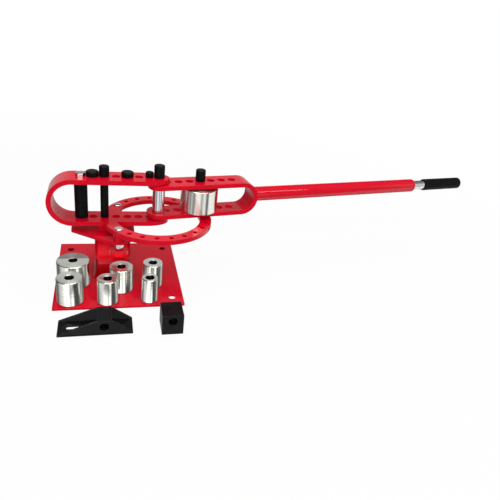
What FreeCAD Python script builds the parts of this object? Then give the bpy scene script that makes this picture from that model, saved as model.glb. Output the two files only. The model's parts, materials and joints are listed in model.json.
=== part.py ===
"""Hand-operated bench bender: a swing arm on a post, an angle ring and a set of loose dies.

Millimetres.  The origin is the centre of the base plate's underside, +X runs along the fixed frame
towards the handle, +Y away from the operator and +Z up.  Each piece is its own solid or group of
like solids, written to parts/NAME.step.
"""
import FreeCAD
import Part
import math
import os

V = FreeCAD.Vector
UP = V(0, 0, 1)

# ---- fits -----------------------------------------------------------------------------------
RUN_FIT = 0.1            # radial play of a pin in its hole, and of the handle's sliding pieces
BOLT_FIT = 0.25          # radial play of a bolt in a drilled plate
SNUG = 0.05              # radial play of pieces that don't move on each other
SIDE_FIT = 0.2           # gap between the frame's lower bar and the ends of the ring
REST_GAP = 0.3           # play under a die on the arm and above a shank's end
SLIP_FIT = 0.25          # radial play of a loose die's bore over its pin
CUT_PAST = 1.0           # how far a cutter runs past what it cuts
SAME = 1e-3              # two levels this near are one

# ---- base plate and post ---------------------------------------------------------------------
BASE_LENGTH = 250.0
BASE_DEPTH = 264.0
BASE_THICK = 4.0
BASE_CORNER = 2.0
BASE_HOLE_R = 7.0
BASE_HOLE_X = 102.5      # bolt hole from the plate's centre, along X
BASE_HOLE_Y = 104.0      # and along Y
POST_X = -12.3
POST_Y = 13.6
POST_SIDE = 70.0
POST_WALL = 4.0
POST_CORNER = 6.0
POST_HEIGHT = 93.6
WELD = 5.0               # leg of a fillet weld

# ---- head plate on the post ------------------------------------------------------------------
HEAD_THICK = 6.4
HEAD_LEFT = 80.7         # from the post's axis to the narrow end
HEAD_RIGHT = 43.8        # from the post's axis to the end under the ring
HEAD_NARROW_HALF = 10.5
HEAD_WIDE_HALF = 69.0
HEAD_RIGHT_HALF = 50.0
HEAD_WIDE_FROM = 0.3     # where the full width starts and ends, from the post's axis
HEAD_WIDE_TO = 20.3
BLOCK_HEIGHT = 15.2      # block between the head plate and the frame's lower bar
BLOCK_LENGTH = 56.0
BLOCK_DEPTH = 40.0

# ---- frame: flat bar bent into a U on its side -----------------------------------------------
BAR_WIDTH = 52.0
BAR_THICK = 9.5
BAR_EDGE = 1.0           # rounding of the bar's long edges
FRAME_HEIGHT = 96.7      # over both bars
PIVOT_FROM_POST = 92.6   # from the post's axis to the centre pin
FRAME_STRAIGHT = 3.0     # straight bar between the spacer and the bend
FRAME_PAST_PIVOT = 21.0
FRAME_NOSE = 44.5        # length of the half ellipse that each open end is cut to
PIN_R = 8.0
NEAR_HOLE = 19.6         # small hole next to the centre pin
ROW_START = 40.4         # first full-size hole of the frame's row
ROW_PITCH = 22.4
ROW_COUNT = 5            # full-size holes; the spacer's bolt takes the next place
STOP_PLACE = 3           # place in the row of the stop pin, counted from the centre pin
RIGHT_CAP_PLACE = 1      # places of the two short pins
LEFT_CAP_PLACE = 4

# ---- frame spacer ----------------------------------------------------------------------------
SPACER_R = 12.75
BOLT_R = 5.0
BOLT_FLATS = 17.0
BOLT_HEAD = 6.4
NUT_HEIGHT = 8.4
BOLT_END = 3.0           # thread standing out of a nut

# ---- angle ring --------------------------------------------------------------------------------
RING_OUTER_R = 112.4
RING_WIDTH = 24.2
RING_HOLE_IN = 11.8      # hole centres from the outer edge
RING_HOLE_R = 5.0
RING_STEP_DEG = 16.0
RING_BOLT_STEP = 9       # the two bolts sit this many steps from the arm's side
RING_SPACER_R = 10.0
BUTTON_R = 8.5           # low round head of a ring bolt
BUTTON_HEIGHT = 3.0
BUTTON_ROUND = 2.0

# ---- eye on the post ---------------------------------------------------------------------------
EYE_OUTER_R = 18.0
EYE_HOLE_R = 8.5
EYE_HEIGHT = 8.0
EYE_Z = 71.0
EYE_FROM_POST_AXIS = 11.8
EYE_NECK_HALF = 13.0
EYE_REACH = 17.0         # from the post's face to the eye's centre

# ---- swing arm ---------------------------------------------------------------------------------
ARM_REST_DEG = 9.9       # the arm stands turned away from the operator
PIVOT_WASHER = 3.5
PIVOT_WASHER_R = 20.0
ARM_HEIGHT = 73.0
ARM_REACH = 216.0
ARM_PAST_PIVOT = 23.0
ARM_ROUND = 22.0
ARM_ROW_START = 41.0
ARM_ROW_PITCH = 23.6
ARM_ROW_COUNT = 6
ROLLER_PLACE = 2         # place in the arm's row of the roller pin, counted from 0

# ---- handle ------------------------------------------------------------------------------------
TUBE_R = 15.9
TUBE_WALL = 2.0
TUBE_END = 672.0         # from the centre pin
COLLAR_LENGTH = 8.0
COLLAR_ROUND = 4.0
INNER_R = 11.1
INNER_WALL = 1.6
INNER_START = 372.0
BUSH_LENGTH = 25.0
GRIP_START = 707.0
GRIP_END = 832.0
GRIP_R = 14.5
GRIP_END_WALL = 4.0
GRIP_ROUND = 5.0

# ---- pins --------------------------------------------------------------------------------------
PIN_HEAD_EDGE = 1.8
CENTRE_HEAD_R = 10.8
CENTRE_HEAD = 26.0
ROLLER_HEAD_R = 10.4
ROLLER_HEAD = 24.5
STOP_HEAD_R = 9.9
STOP_HEAD = 21.5
CAP_HEAD = 10.5
SCREW_HEAD_R = 8.0
SCREW_HEAD = 11.5
PIN_POINT = 1.2          # chamfer at the foot of a pin

# ---- dies --------------------------------------------------------------------------------------
DIE_HEIGHT = 51.0
DIE_EDGE = 1.2
CENTRE_DIE_R = 12.6
ROLLER_DIE_R = 39.5
LOOSE_DIES = {           # name: (radius, X, Y) of each die standing on the base plate
    "die_64": (31.75, -89.7, -35.9),
    "die_49": (24.5, -93.3, -102.5),
    "die_46": (22.9, 3.6, -64.3),
    "die_40": (20.0, 67.0, -50.8),
    "die_39": (19.7, -23.3, -108.7),
    "die_31": (15.7, 56.7, -109.5),
}

# ---- strap die and block die, on the bench in front ----------------------------------------------
STRAP_X = -29.7          # its bore
STRAP_FRONT_Y = -213.5
STRAP_LEFT = 81.0        # wing lengths from the bore
STRAP_RIGHT = 50.0
STRAP_DEPTH = 46.0
STRAP_PLATE = 4.0        # working plate, and the webs' height at the wings' ends
STRAP_WEB = 4.0
STRAP_HEIGHT = 30.0
STRAP_BOSS_HALF = 12.5
STRAP_BORE_Z = 17.4
SLOT_LENGTH = 28.0
SLOT_WIDTH = 10.5
SLOT_FROM_BORE = 52.3
BLOCK_DIE_X = 90.3
BLOCK_DIE_FRONT_Y = -222.5
BLOCK_DIE_WIDTH = 39.5
BLOCK_DIE_DEPTH = 46.0
BLOCK_DIE_HEIGHT = 41.0
BLOCK_BORE_Z = 28.0
BLOCK_EDGE = 1.0

# ---- levels and places that follow ---------------------------------------------------------------
HEAD_Z = BASE_THICK + POST_HEIGHT
BLOCK_Z = HEAD_Z + HEAD_THICK
BAR_Z = BLOCK_Z + BLOCK_HEIGHT               # underside of the frame's lower bar
BAR_TOP_Z = BAR_Z + BAR_THICK
FRAME_TOP_Z = BAR_Z + FRAME_HEIGHT
UPPER_BAR_Z = FRAME_TOP_Z - BAR_THICK        # underside of the frame's upper bar
ARM_Z = BAR_TOP_Z + PIVOT_WASHER
ARM_TOP_Z = ARM_Z + ARM_HEIGHT
ARM_MID_Z = ARM_Z + ARM_HEIGHT / 2
ARM_DIE_Z = ARM_Z + BAR_THICK + REST_GAP     # underside of a die between the arm's bars
PIVOT_X = POST_X + PIVOT_FROM_POST
PIVOT_Y = POST_Y
PIN_HOLE_R = PIN_R + RUN_FIT
DIE_BORE_R = PIN_R + SLIP_FIT
ROW = [-(ROW_START + ROW_PITCH * i) for i in range(ROW_COUNT)]
STOP_AT = ROW[STOP_PLACE]
RIGHT_CAP_AT = ROW[RIGHT_CAP_PLACE]
LEFT_CAP_AT = ROW[LEFT_CAP_PLACE]
SPACER_AT = -(ROW_START + ROW_PITCH * ROW_COUNT)
CAP_HEAD_R = ROW_PITCH - STOP_HEAD_R - REST_GAP
FRAME_REACH = -SPACER_AT + SPACER_R + FRAME_STRAIGHT + FRAME_HEIGHT / 2
RING_INNER_R = RING_OUTER_R - RING_WIDTH
RING_HOLE_CIRCLE_R = RING_OUTER_R - RING_HOLE_IN
ARM_ROW = [ARM_ROW_START + ARM_ROW_PITCH * i for i in range(ARM_ROW_COUNT)]
ROLLER_AT = ARM_ROW[ROLLER_PLACE]


# ---- shapes ------------------------------------------------------------------------------------
def cylinder(radius, x, y, low, high):
    """Upright cylinder from low to high."""
    return Part.makeCylinder(radius, high - low, V(x, y, low), UP)


def tube(outer, inner, x, y, low, high):
    """Upright tube from low to high."""
    return cylinder(outer, x, y, low, high).cut(cylinder(inner, x, y, low, high))


def rod_x(radius, start, end, z):
    """Cylinder along +X on the line y = 0 at height z."""
    return Part.makeCylinder(radius, end - start, V(start, 0, z), V(1, 0, 0))


def box(x0, x1, y0, y1, z0, z1):
    """Box between two corners."""
    return Part.makeBox(x1 - x0, y1 - y0, z1 - z0, V(x0, y0, z0))


def prism(points, low, high):
    """Upright prism over a polygon of (x, y) corners."""
    corners = [V(x, y, low) for x, y in points]
    wire = Part.makePolygon(corners + corners[:1])
    return Part.Face(wire).extrude(V(0, 0, high - low))


def upright_edges(shape):
    """Edges that run along Z."""
    found = []
    for edge in shape.Edges:
        span = edge.BoundBox
        if span.ZLength > SAME and span.XLength < SAME and span.YLength < SAME:
            found.append(edge)
    return found


def edges_at_z(shape, level):
    """Edges that lie flat at one height."""
    found = []
    for edge in shape.Edges:
        span = edge.BoundBox
        if abs(span.ZMin - level) < SAME and abs(span.ZMax - level) < SAME:
            found.append(edge)
    return found


def edges_at_y(shape, level):
    """Edges that lie in one plane of constant Y."""
    found = []
    for edge in shape.Edges:
        span = edge.BoundBox
        if abs(span.YMin - level) < SAME and abs(span.YMax - level) < SAME:
            found.append(edge)
    return found


def square_post(side, corner, low, high):
    """Upright square bar with rounded corners on the post's axis."""
    half = side / 2
    shape = box(POST_X - half, POST_X + half, POST_Y - half, POST_Y + half, low, high)
    return shape.makeFillet(corner, upright_edges(shape))


def hexagon(flats, x, y, low, high):
    """Upright hexagonal prism, for bolt heads and nuts."""
    reach = flats / math.sqrt(3)
    angles = [math.radians(60 * i) for i in range(6)]
    return prism([(x + reach * math.cos(a), y + reach * math.sin(a)) for a in angles], low, high)


def hex_bolt(x, y, under_head, tip):
    """Hex bolt standing head up: underside of the head and the thread's tip."""
    head = hexagon(BOLT_FLATS, x, y, under_head, under_head + BOLT_HEAD)
    crown = Part.makeCone(BOLT_FLATS, BOLT_FLATS * 0.46, BOLT_HEAD, V(x, y, under_head), UP)
    shank = cylinder(BOLT_R, x, y, tip, under_head)
    shank = shank.makeChamfer(1.0, edges_at_z(shank, tip))
    return head.common(crown).fuse(shank).removeSplitter()


def button_bolt(x, y, under_head, tip):
    """Bolt with a low round head, standing head up."""
    top = under_head + BUTTON_HEIGHT
    head = cylinder(BUTTON_R, x, y, under_head, top)
    head = head.makeFillet(BUTTON_ROUND, edges_at_z(head, top))
    shank = cylinder(BOLT_R, x, y, tip, under_head)
    shank = shank.makeChamfer(1.0, edges_at_z(shank, tip))
    return head.fuse(shank).removeSplitter()


def hex_nut(x, y, top):
    """Hex nut with its upper face at top."""
    body = hexagon(BOLT_FLATS, x, y, top - NUT_HEIGHT, top)
    return body.cut(cylinder(BOLT_R + SNUG, x, y, top - NUT_HEIGHT, top))


def bent_bar(open_x, closed_x, low, height):
    """Flat bar bent into a U on its side, centred on y = 0: open end, closed end, underside."""
    side = 1 if closed_x > open_x else -1
    outer = height / 2
    inner = outer - BAR_THICK
    bend_x = closed_x - side * outer
    mid = low + outer
    edges = []
    for radius in (outer, inner):
        top = V(bend_x, 0, mid + radius)
        foot = V(bend_x, 0, mid - radius)
        edges.append(Part.makeLine(V(open_x, 0, mid + radius), top))
        edges.append(Part.Arc(top, V(bend_x + side * radius, 0, mid), foot).toShape())
        edges.append(Part.makeLine(foot, V(open_x, 0, mid - radius)))
    for way in (1, -1):
        edges.append(Part.makeLine(V(open_x, 0, mid + way * outer), V(open_x, 0, mid + way * inner)))
    wire = Part.Wire(Part.__sortEdges__(edges))
    bar = Part.Face(wire).extrude(V(0, BAR_WIDTH, 0))
    bar.translate(V(0, -BAR_WIDTH / 2, 0))
    long_edges = edges_at_y(bar, -BAR_WIDTH / 2) + edges_at_y(bar, BAR_WIDTH / 2)
    return bar.makeFillet(BAR_EDGE, long_edges)


def headed_pin(x, y, seat, foot, head_r, head, shank_r=PIN_R):
    """Turned pin: its head stands on seat and its shank reaches down to foot."""
    cap = cylinder(head_r, x, y, seat, seat + head)
    cap = cap.makeFillet(PIN_HEAD_EDGE, edges_at_z(cap, seat + head))
    shank = cylinder(shank_r, x, y, foot, seat)
    shank = shank.makeChamfer(PIN_POINT, edges_at_z(shank, foot))
    return cap.fuse(shank).removeSplitter()


def round_die(radius, bore, x, y, low):
    """Turned bending die with a bore through it and broken edges."""
    die = cylinder(radius, x, y, low, low + DIE_HEIGHT)
    die = die.cut(cylinder(bore, x, y, low, low + DIE_HEIGHT))
    ends = edges_at_z(die, low) + edges_at_z(die, low + DIE_HEIGHT)
    return die.makeChamfer(DIE_EDGE, ends)


def on_frame(shape):
    """Move a shape drawn round the centre pin at the origin to the frame."""
    moved = shape.copy()
    moved.translate(V(PIVOT_X, PIVOT_Y, 0))
    return moved


def on_arm(shape):
    """Move a shape drawn along +X from the centre pin to the arm's rest place."""
    moved = shape.copy()
    moved.rotate(V(0, 0, 0), UP, ARM_REST_DEG)
    moved.translate(V(PIVOT_X, PIVOT_Y, 0))
    return moved


def weld_round_post(low, high, wide_end):
    """Fillet weld round the post; wide_end is the level of the plate that it runs along."""
    reach = POST_SIDE + 2 * WELD
    bead = square_post(reach, POST_CORNER + WELD, low, high)
    narrow_end = high if wide_end == low else low
    bead = bead.makeChamfer(WELD - SNUG, edges_at_z(bead, narrow_end))
    return bead.cut(square_post(POST_SIDE, POST_CORNER, low, high))


# ---- stand -------------------------------------------------------------------------------------
def base_plate():
    half_x = BASE_LENGTH / 2
    half_y = BASE_DEPTH / 2
    plate = box(-half_x, half_x, -half_y, half_y, 0, BASE_THICK)
    plate = plate.makeFillet(BASE_CORNER, upright_edges(plate))
    for x in (-BASE_HOLE_X, BASE_HOLE_X):
        for y in (-BASE_HOLE_Y, BASE_HOLE_Y):
            plate = plate.cut(cylinder(BASE_HOLE_R, x, y, 0, BASE_THICK))
    return plate


def post():
    outer = square_post(POST_SIDE, POST_CORNER, BASE_THICK, HEAD_Z)
    inner_side = POST_SIDE - 2 * POST_WALL
    inner = square_post(inner_side, POST_CORNER - POST_WALL, BASE_THICK, HEAD_Z)
    return outer.cut(inner)


def head_plate():
    halves = [
        (POST_X - HEAD_LEFT, HEAD_NARROW_HALF),
        (POST_X + HEAD_WIDE_FROM, HEAD_WIDE_HALF),
        (POST_X + HEAD_WIDE_TO, HEAD_WIDE_HALF),
        (POST_X + HEAD_RIGHT, HEAD_RIGHT_HALF),
    ]
    front = [(x, POST_Y - half) for x, half in halves]
    back = [(x, POST_Y + half) for x, half in reversed(halves)]
    plate = prism(front + back, HEAD_Z, BLOCK_Z)
    plate = plate.makeFillet(BASE_CORNER, upright_edges(plate))
    for x, y in ring_bolt_places():
        plate = plate.cut(cylinder(BOLT_R + BOLT_FIT, x, y, HEAD_Z, BLOCK_Z))
    return plate


def head_block():
    half_x = BLOCK_LENGTH / 2
    half_y = BLOCK_DEPTH / 2
    return box(POST_X - half_x, POST_X + half_x, POST_Y - half_y, POST_Y + half_y, BLOCK_Z, BAR_Z)


def frame_bar():
    bar = bent_bar(FRAME_PAST_PIVOT, -FRAME_REACH, BAR_Z, FRAME_HEIGHT)
    half = BAR_WIDTH / 2
    nose_start = FRAME_PAST_PIVOT - FRAME_NOSE
    outline = box(-FRAME_REACH, nose_start, -half, half, BAR_Z, FRAME_TOP_Z)
    nose = Part.Ellipse(V(nose_start, 0, BAR_Z), FRAME_NOSE, half).toShape()
    nose = Part.Face(Part.Wire(nose)).extrude(V(0, 0, FRAME_HEIGHT))
    bar = bar.common(outline.fuse(nose))
    holes = [(place, PIN_HOLE_R) for place in [0] + ROW]
    holes.append((-NEAR_HOLE, BOLT_R + BOLT_FIT))
    holes.append((SPACER_AT, BOLT_R + BOLT_FIT))
    for place, radius in holes:
        bar = bar.cut(cylinder(radius, place, 0, BAR_Z, FRAME_TOP_Z))
    return on_frame(bar)


def ring_hole(step):
    """Centre of a ring hole, counted in steps from the arm's side."""
    angle = math.radians(step * RING_STEP_DEG)
    x = PIVOT_X + RING_HOLE_CIRCLE_R * math.cos(angle)
    y = PIVOT_Y + RING_HOLE_CIRCLE_R * math.sin(angle)
    return x, y


def ring_bolt_places():
    """The two bolts that hold the ring, one each side of the frame."""
    return [ring_hole(RING_BOLT_STEP), ring_hole(-RING_BOLT_STEP)]


def angle_ring():
    ring = tube(RING_OUTER_R, RING_INNER_R, PIVOT_X, PIVOT_Y, BAR_Z, BAR_TOP_Z)
    half = BAR_WIDTH / 2 + SIDE_FIT
    left = PIVOT_X - RING_OUTER_R - CUT_PAST
    ring = ring.cut(box(left, PIVOT_X, PIVOT_Y - half, PIVOT_Y + half, BAR_Z, BAR_TOP_Z))
    for step in range(1 - RING_BOLT_STEP, RING_BOLT_STEP):
        x, y = ring_hole(step)
        ring = ring.cut(cylinder(RING_HOLE_R, x, y, BAR_Z, BAR_TOP_Z))
    for x, y in ring_bolt_places():
        ring = ring.cut(cylinder(BOLT_R + BOLT_FIT, x, y, BAR_Z, BAR_TOP_Z))
    return ring


def ring_spacers():
    bore = BOLT_R + BOLT_FIT
    return Part.makeCompound([tube(RING_SPACER_R, bore, x, y, BLOCK_Z, BAR_Z)
                              for x, y in ring_bolt_places()])


def ring_bolts():
    tip = HEAD_Z - NUT_HEIGHT - BOLT_END
    return Part.makeCompound([button_bolt(x, y, BAR_TOP_Z, tip) for x, y in ring_bolt_places()])


def ring_nuts():
    return Part.makeCompound([hex_nut(x, y, HEAD_Z) for x, y in ring_bolt_places()])


def post_eye():
    x = POST_X + EYE_FROM_POST_AXIS
    face_y = POST_Y - POST_SIDE / 2
    y = face_y - EYE_REACH
    top = EYE_Z + EYE_HEIGHT
    body = cylinder(EYE_OUTER_R, x, y, EYE_Z, top)
    neck = box(x - EYE_NECK_HALF, x + EYE_NECK_HALF, y, face_y, EYE_Z, top)
    body = body.fuse(neck).cut(cylinder(EYE_HOLE_R, x, y, EYE_Z, top))
    return body.cut(square_post(POST_SIDE, POST_CORNER, EYE_Z, top)).removeSplitter()


def frame_spacer():
    return on_frame(tube(SPACER_R, BOLT_R + BOLT_FIT, SPACER_AT, 0, BAR_TOP_Z, UPPER_BAR_Z))


def spacer_bolt():
    return on_frame(hex_bolt(SPACER_AT, 0, FRAME_TOP_Z, BAR_Z - NUT_HEIGHT - BOLT_END))


def spacer_nut():
    return on_frame(hex_nut(SPACER_AT, 0, BAR_Z))


def pivot_washer():
    return on_frame(tube(PIVOT_WASHER_R, PIN_HOLE_R, 0, 0, BAR_TOP_Z, ARM_Z))


# ---- swing arm and handle ------------------------------------------------------------------------
def arm_blank():
    """The arm's bent bar with no holes, along +X from the centre pin."""
    bar = bent_bar(-ARM_PAST_PIVOT, ARM_REACH, ARM_Z, ARM_HEIGHT)
    half = BAR_WIDTH / 2
    outline = box(-ARM_PAST_PIVOT, ARM_REACH, -half, half, ARM_Z, ARM_TOP_Z)
    corners = [e for e in upright_edges(outline) if e.BoundBox.XMin < 0]
    return bar.common(outline.makeFillet(ARM_ROUND, corners))


def arm_envelope():
    """The solid that the arm's outer faces enclose near its closed end."""
    outer = ARM_HEIGHT / 2
    centre = V(ARM_REACH - outer, -BAR_WIDTH, ARM_MID_Z)
    return Part.makeCylinder(outer, 2 * BAR_WIDTH, centre, V(0, 1, 0))


def arm_bar():
    bar = arm_blank()
    holes = [(place, PIN_HOLE_R) for place in [0] + ARM_ROW]
    holes.append((NEAR_HOLE, BOLT_R + BOLT_FIT))
    for place, radius in holes:
        bar = bar.cut(cylinder(radius, place, 0, ARM_Z, ARM_TOP_Z))
    return on_arm(bar)


def handle_tube():
    start = ARM_REACH - ARM_HEIGHT / 2
    end = TUBE_END - COLLAR_LENGTH
    outer = rod_x(TUBE_R, start, end, ARM_MID_Z).cut(rod_x(TUBE_R - TUBE_WALL, start, end, ARM_MID_Z))
    return on_arm(outer.cut(arm_envelope()))


def handle_weld():
    start = ARM_REACH - TUBE_R / 2
    length = TUBE_R / 2 + WELD
    bead = Part.makeCone(TUBE_R + WELD, TUBE_R + SNUG, length, V(start, 0, ARM_MID_Z), V(1, 0, 0))
    bead = bead.cut(rod_x(TUBE_R, start, start + length, ARM_MID_Z))
    return on_arm(bead.cut(arm_envelope()))


def handle_collar():
    start = TUBE_END - COLLAR_LENGTH
    collar = rod_x(TUBE_R, start, TUBE_END, ARM_MID_Z)
    rim = [e for e in collar.Edges if abs(e.BoundBox.XMin - TUBE_END) < SAME]
    collar = collar.makeFillet(COLLAR_ROUND, rim)
    return on_arm(collar.cut(rod_x(INNER_R + RUN_FIT, start, TUBE_END, ARM_MID_Z)))


def extension_tube():
    end = GRIP_END - GRIP_END_WALL
    outer = rod_x(INNER_R, INNER_START, end, ARM_MID_Z)
    return on_arm(outer.cut(rod_x(INNER_R - INNER_WALL, INNER_START, end, ARM_MID_Z)))


def extension_bush():
    end = INNER_START + BUSH_LENGTH
    bush = rod_x(TUBE_R - TUBE_WALL - RUN_FIT, INNER_START, end, ARM_MID_Z)
    return on_arm(bush.cut(rod_x(INNER_R + SNUG, INNER_START, end, ARM_MID_Z)))


def grip():
    body = rod_x(GRIP_R, GRIP_START, GRIP_END, ARM_MID_Z)
    far_rim = [e for e in body.Edges if abs(e.BoundBox.XMin - GRIP_END) < SAME]
    body = body.makeFillet(GRIP_ROUND, far_rim)
    near_rim = [e for e in body.Edges if abs(e.BoundBox.XMax - GRIP_START) < SAME]
    body = body.makeFillet(PIN_HEAD_EDGE, near_rim)
    bore_end = GRIP_END - GRIP_END_WALL
    return on_arm(body.cut(rod_x(INNER_R + SNUG, GRIP_START, bore_end, ARM_MID_Z)))


# ---- pins ----------------------------------------------------------------------------------------
def centre_pin():
    return on_frame(headed_pin(0, 0, FRAME_TOP_Z, BAR_Z, CENTRE_HEAD_R, CENTRE_HEAD))


def stop_pin():
    return on_frame(headed_pin(STOP_AT, 0, FRAME_TOP_Z, BAR_Z + REST_GAP, STOP_HEAD_R, STOP_HEAD))


def roller_pin():
    return on_arm(headed_pin(ROLLER_AT, 0, ARM_TOP_Z, ARM_Z, ROLLER_HEAD_R, ROLLER_HEAD))


def short_pin(place):
    foot = UPPER_BAR_Z + REST_GAP
    return on_frame(headed_pin(place, 0, FRAME_TOP_Z, foot, CAP_HEAD_R, CAP_HEAD))


def stop_screw():
    foot = UPPER_BAR_Z + REST_GAP
    return on_frame(headed_pin(-NEAR_HOLE, 0, FRAME_TOP_Z, foot, SCREW_HEAD_R, SCREW_HEAD, BOLT_R))


# ---- dies ----------------------------------------------------------------------------------------
def strap_die():
    """Flat working plate with two three-cornered webs and a bored boss, lying on its plate."""
    y0 = STRAP_FRONT_Y
    y1 = y0 + STRAP_DEPTH
    left = STRAP_X - STRAP_LEFT
    right = STRAP_X + STRAP_RIGHT
    boss_left = STRAP_X - STRAP_BOSS_HALF
    boss_right = STRAP_X + STRAP_BOSS_HALF
    profile = [(left, 0), (left, STRAP_PLATE), (boss_left, STRAP_HEIGHT),
               (boss_right, STRAP_HEIGHT), (right, STRAP_PLATE), (right, 0)]
    web = prism(profile, 0, STRAP_WEB)
    web.rotate(V(0, 0, 0), V(1, 0, 0), 90)
    die = box(left, right, y0, y1, 0, STRAP_PLATE)
    boss = box(boss_left, boss_right, y0, y1, 0, STRAP_HEIGHT)
    die = die.fuse(boss)
    for rear in (y0 + STRAP_WEB, y1):
        side = web.copy()
        side.translate(V(0, rear, 0))
        die = die.fuse(side)
    die = die.removeSplitter()
    bore = Part.makeCylinder(DIE_BORE_R, STRAP_DEPTH, V(STRAP_X, y0, STRAP_BORE_Z), V(0, 1, 0))
    slot_x = STRAP_X - SLOT_FROM_BORE
    half = SLOT_LENGTH / 2
    mid_y = (y0 + y1) / 2
    slot = box(slot_x - half, slot_x + half, mid_y - SLOT_WIDTH / 2, mid_y + SLOT_WIDTH / 2,
               0, STRAP_PLATE)
    slot = slot.makeFillet(SLOT_WIDTH * 0.4, upright_edges(slot))
    return die.cut(bore).cut(slot)


def block_die():
    half = BLOCK_DIE_WIDTH / 2
    y0 = BLOCK_DIE_FRONT_Y
    y1 = y0 + BLOCK_DIE_DEPTH
    block = box(BLOCK_DIE_X - half, BLOCK_DIE_X + half, y0, y1, 0, BLOCK_DIE_HEIGHT)
    block = block.makeChamfer(BLOCK_EDGE, block.Edges)
    axis = V(BLOCK_DIE_X, y0, BLOCK_BORE_Z)
    return block.cut(Part.makeCylinder(DIE_BORE_R, BLOCK_DIE_DEPTH, axis, V(0, 1, 0)))


def all_pieces():
    """Every node's name and shape."""
    pieces = {
        "base_plate": base_plate(),
        "post": post(),
        "post_foot_weld": weld_round_post(BASE_THICK, BASE_THICK + WELD, BASE_THICK),
        "post_head_weld": weld_round_post(HEAD_Z - WELD, HEAD_Z, HEAD_Z),
        "post_eye": post_eye(),
        "head_plate": head_plate(),
        "head_block": head_block(),
        "frame_bar": frame_bar(),
        "frame_spacer": frame_spacer(),
        "spacer_bolt": spacer_bolt(),
        "spacer_nut": spacer_nut(),
        "angle_ring": angle_ring(),
        "ring_spacers": ring_spacers(),
        "ring_bolts": ring_bolts(),
        "ring_nuts": ring_nuts(),
        "pivot_washer": pivot_washer(),
        "arm_bar": arm_bar(),
        "handle_tube": handle_tube(),
        "handle_weld": handle_weld(),
        "handle_collar": handle_collar(),
        "extension_tube": extension_tube(),
        "extension_bush": extension_bush(),
        "grip": grip(),
        "centre_pin": centre_pin(),
        "stop_pin": stop_pin(),
        "roller_pin": roller_pin(),
        "stop_screw": stop_screw(),
        "centre_die": on_frame(round_die(CENTRE_DIE_R, PIN_HOLE_R, 0, 0, ARM_DIE_Z)),
        "roller_die": on_arm(round_die(ROLLER_DIE_R, PIN_HOLE_R, ROLLER_AT, 0, ARM_DIE_Z)),
        "strap_die": strap_die(),
        "block_die": block_die(),
        "short_pin_right": short_pin(RIGHT_CAP_AT),
        "short_pin_left": short_pin(LEFT_CAP_AT),
    }
    for name, (radius, x, y) in LOOSE_DIES.items():
        pieces[name] = round_die(radius, DIE_BORE_R, x, y, BASE_THICK)
    return pieces


os.makedirs("parts", exist_ok=True)
for node, shape in all_pieces().items():
    shape.exportStep("parts/" + node + ".step")
    print("%-18s solids %d valid %s volume %.0f" % (node, len(shape.Solids), shape.isValid(), shape.Volume))
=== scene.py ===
import json
import math

import bmesh
import bpy
from bpy.props import FloatProperty, FloatVectorProperty, IntProperty, PointerProperty
from bpy.types import NodeSocket, Operator, Panel, PropertyGroup
from mathutils import Matrix, Vector

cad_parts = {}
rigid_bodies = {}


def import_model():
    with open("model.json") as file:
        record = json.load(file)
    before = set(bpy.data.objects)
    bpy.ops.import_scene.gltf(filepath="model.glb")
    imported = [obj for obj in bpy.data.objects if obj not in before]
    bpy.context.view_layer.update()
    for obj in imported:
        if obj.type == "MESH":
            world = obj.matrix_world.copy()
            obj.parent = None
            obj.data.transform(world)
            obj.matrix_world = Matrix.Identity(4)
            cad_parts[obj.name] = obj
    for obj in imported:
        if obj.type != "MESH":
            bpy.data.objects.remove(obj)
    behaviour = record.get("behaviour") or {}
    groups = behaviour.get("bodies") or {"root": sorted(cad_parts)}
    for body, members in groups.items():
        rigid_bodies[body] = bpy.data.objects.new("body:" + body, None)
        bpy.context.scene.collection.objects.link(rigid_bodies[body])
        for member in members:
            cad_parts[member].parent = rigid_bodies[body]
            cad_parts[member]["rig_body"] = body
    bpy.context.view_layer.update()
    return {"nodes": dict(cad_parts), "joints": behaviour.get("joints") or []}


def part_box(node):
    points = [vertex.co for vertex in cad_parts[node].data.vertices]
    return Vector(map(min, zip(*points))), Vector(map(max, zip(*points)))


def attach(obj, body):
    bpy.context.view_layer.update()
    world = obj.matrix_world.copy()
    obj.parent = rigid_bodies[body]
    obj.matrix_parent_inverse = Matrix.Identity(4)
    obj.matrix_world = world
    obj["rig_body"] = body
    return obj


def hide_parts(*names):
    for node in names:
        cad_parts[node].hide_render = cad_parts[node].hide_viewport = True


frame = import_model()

bl_info = {
    "name": "Bench bender",
    "version": (1, 0, 0),
    "blender": (4, 5, 0),
    "location": "View3D > Sidebar > Bench bender",
    "description": "Dresses a hand-operated bench bender and its loose dies piece by piece",
    "category": "Object",
}

JOINTS = {joint["name"]: joint for joint in frame["joints"]}
PIVOT = Vector(JOINTS["arm_swing"]["pos_m"])
ARM_LINE = Vector(JOINTS["handle_extend"]["axis"])
ARM_ANGLE = math.atan2(ARM_LINE.y, ARM_LINE.x)
MM = 0.001
MERGE = 1e-7                # corners nearer than this are one
SLIVER = 1e-6               # and corners that a cut has left
SHARP = math.radians(32)    # edges that bend more than this are softened
BAR_DRILL = 1.5             # a drill's length over the height of what it drills
PLATE_DRILL = 3.0           # and the same for thin plates
UPRIGHT = Matrix.Identity(4)
ALONG_X = Matrix.Rotation(math.pi / 2, 4, "Y")
ALONG_Y = Matrix.Rotation(math.pi / 2, 4, "X")


def low(node):
    """Lowest corner of a CAD node."""
    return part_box(node)[0]


def high(node):
    """Highest corner of a CAD node."""
    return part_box(node)[1]


def middle(node):
    """Centre of a CAD node's box."""
    return (low(node) + high(node)) / 2


def size(node):
    """Sides of a CAD node's box."""
    return high(node) - low(node)


# ---- sizes and colours that a user would change ---------------------------------------------
def length(name, description, default):
    """A length property."""
    return FloatProperty(name=name, description=description, default=default, unit="LENGTH")


def whole_number(name, description, default):
    """A property that counts."""
    return IntProperty(name=name, description=description, default=default)


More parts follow.
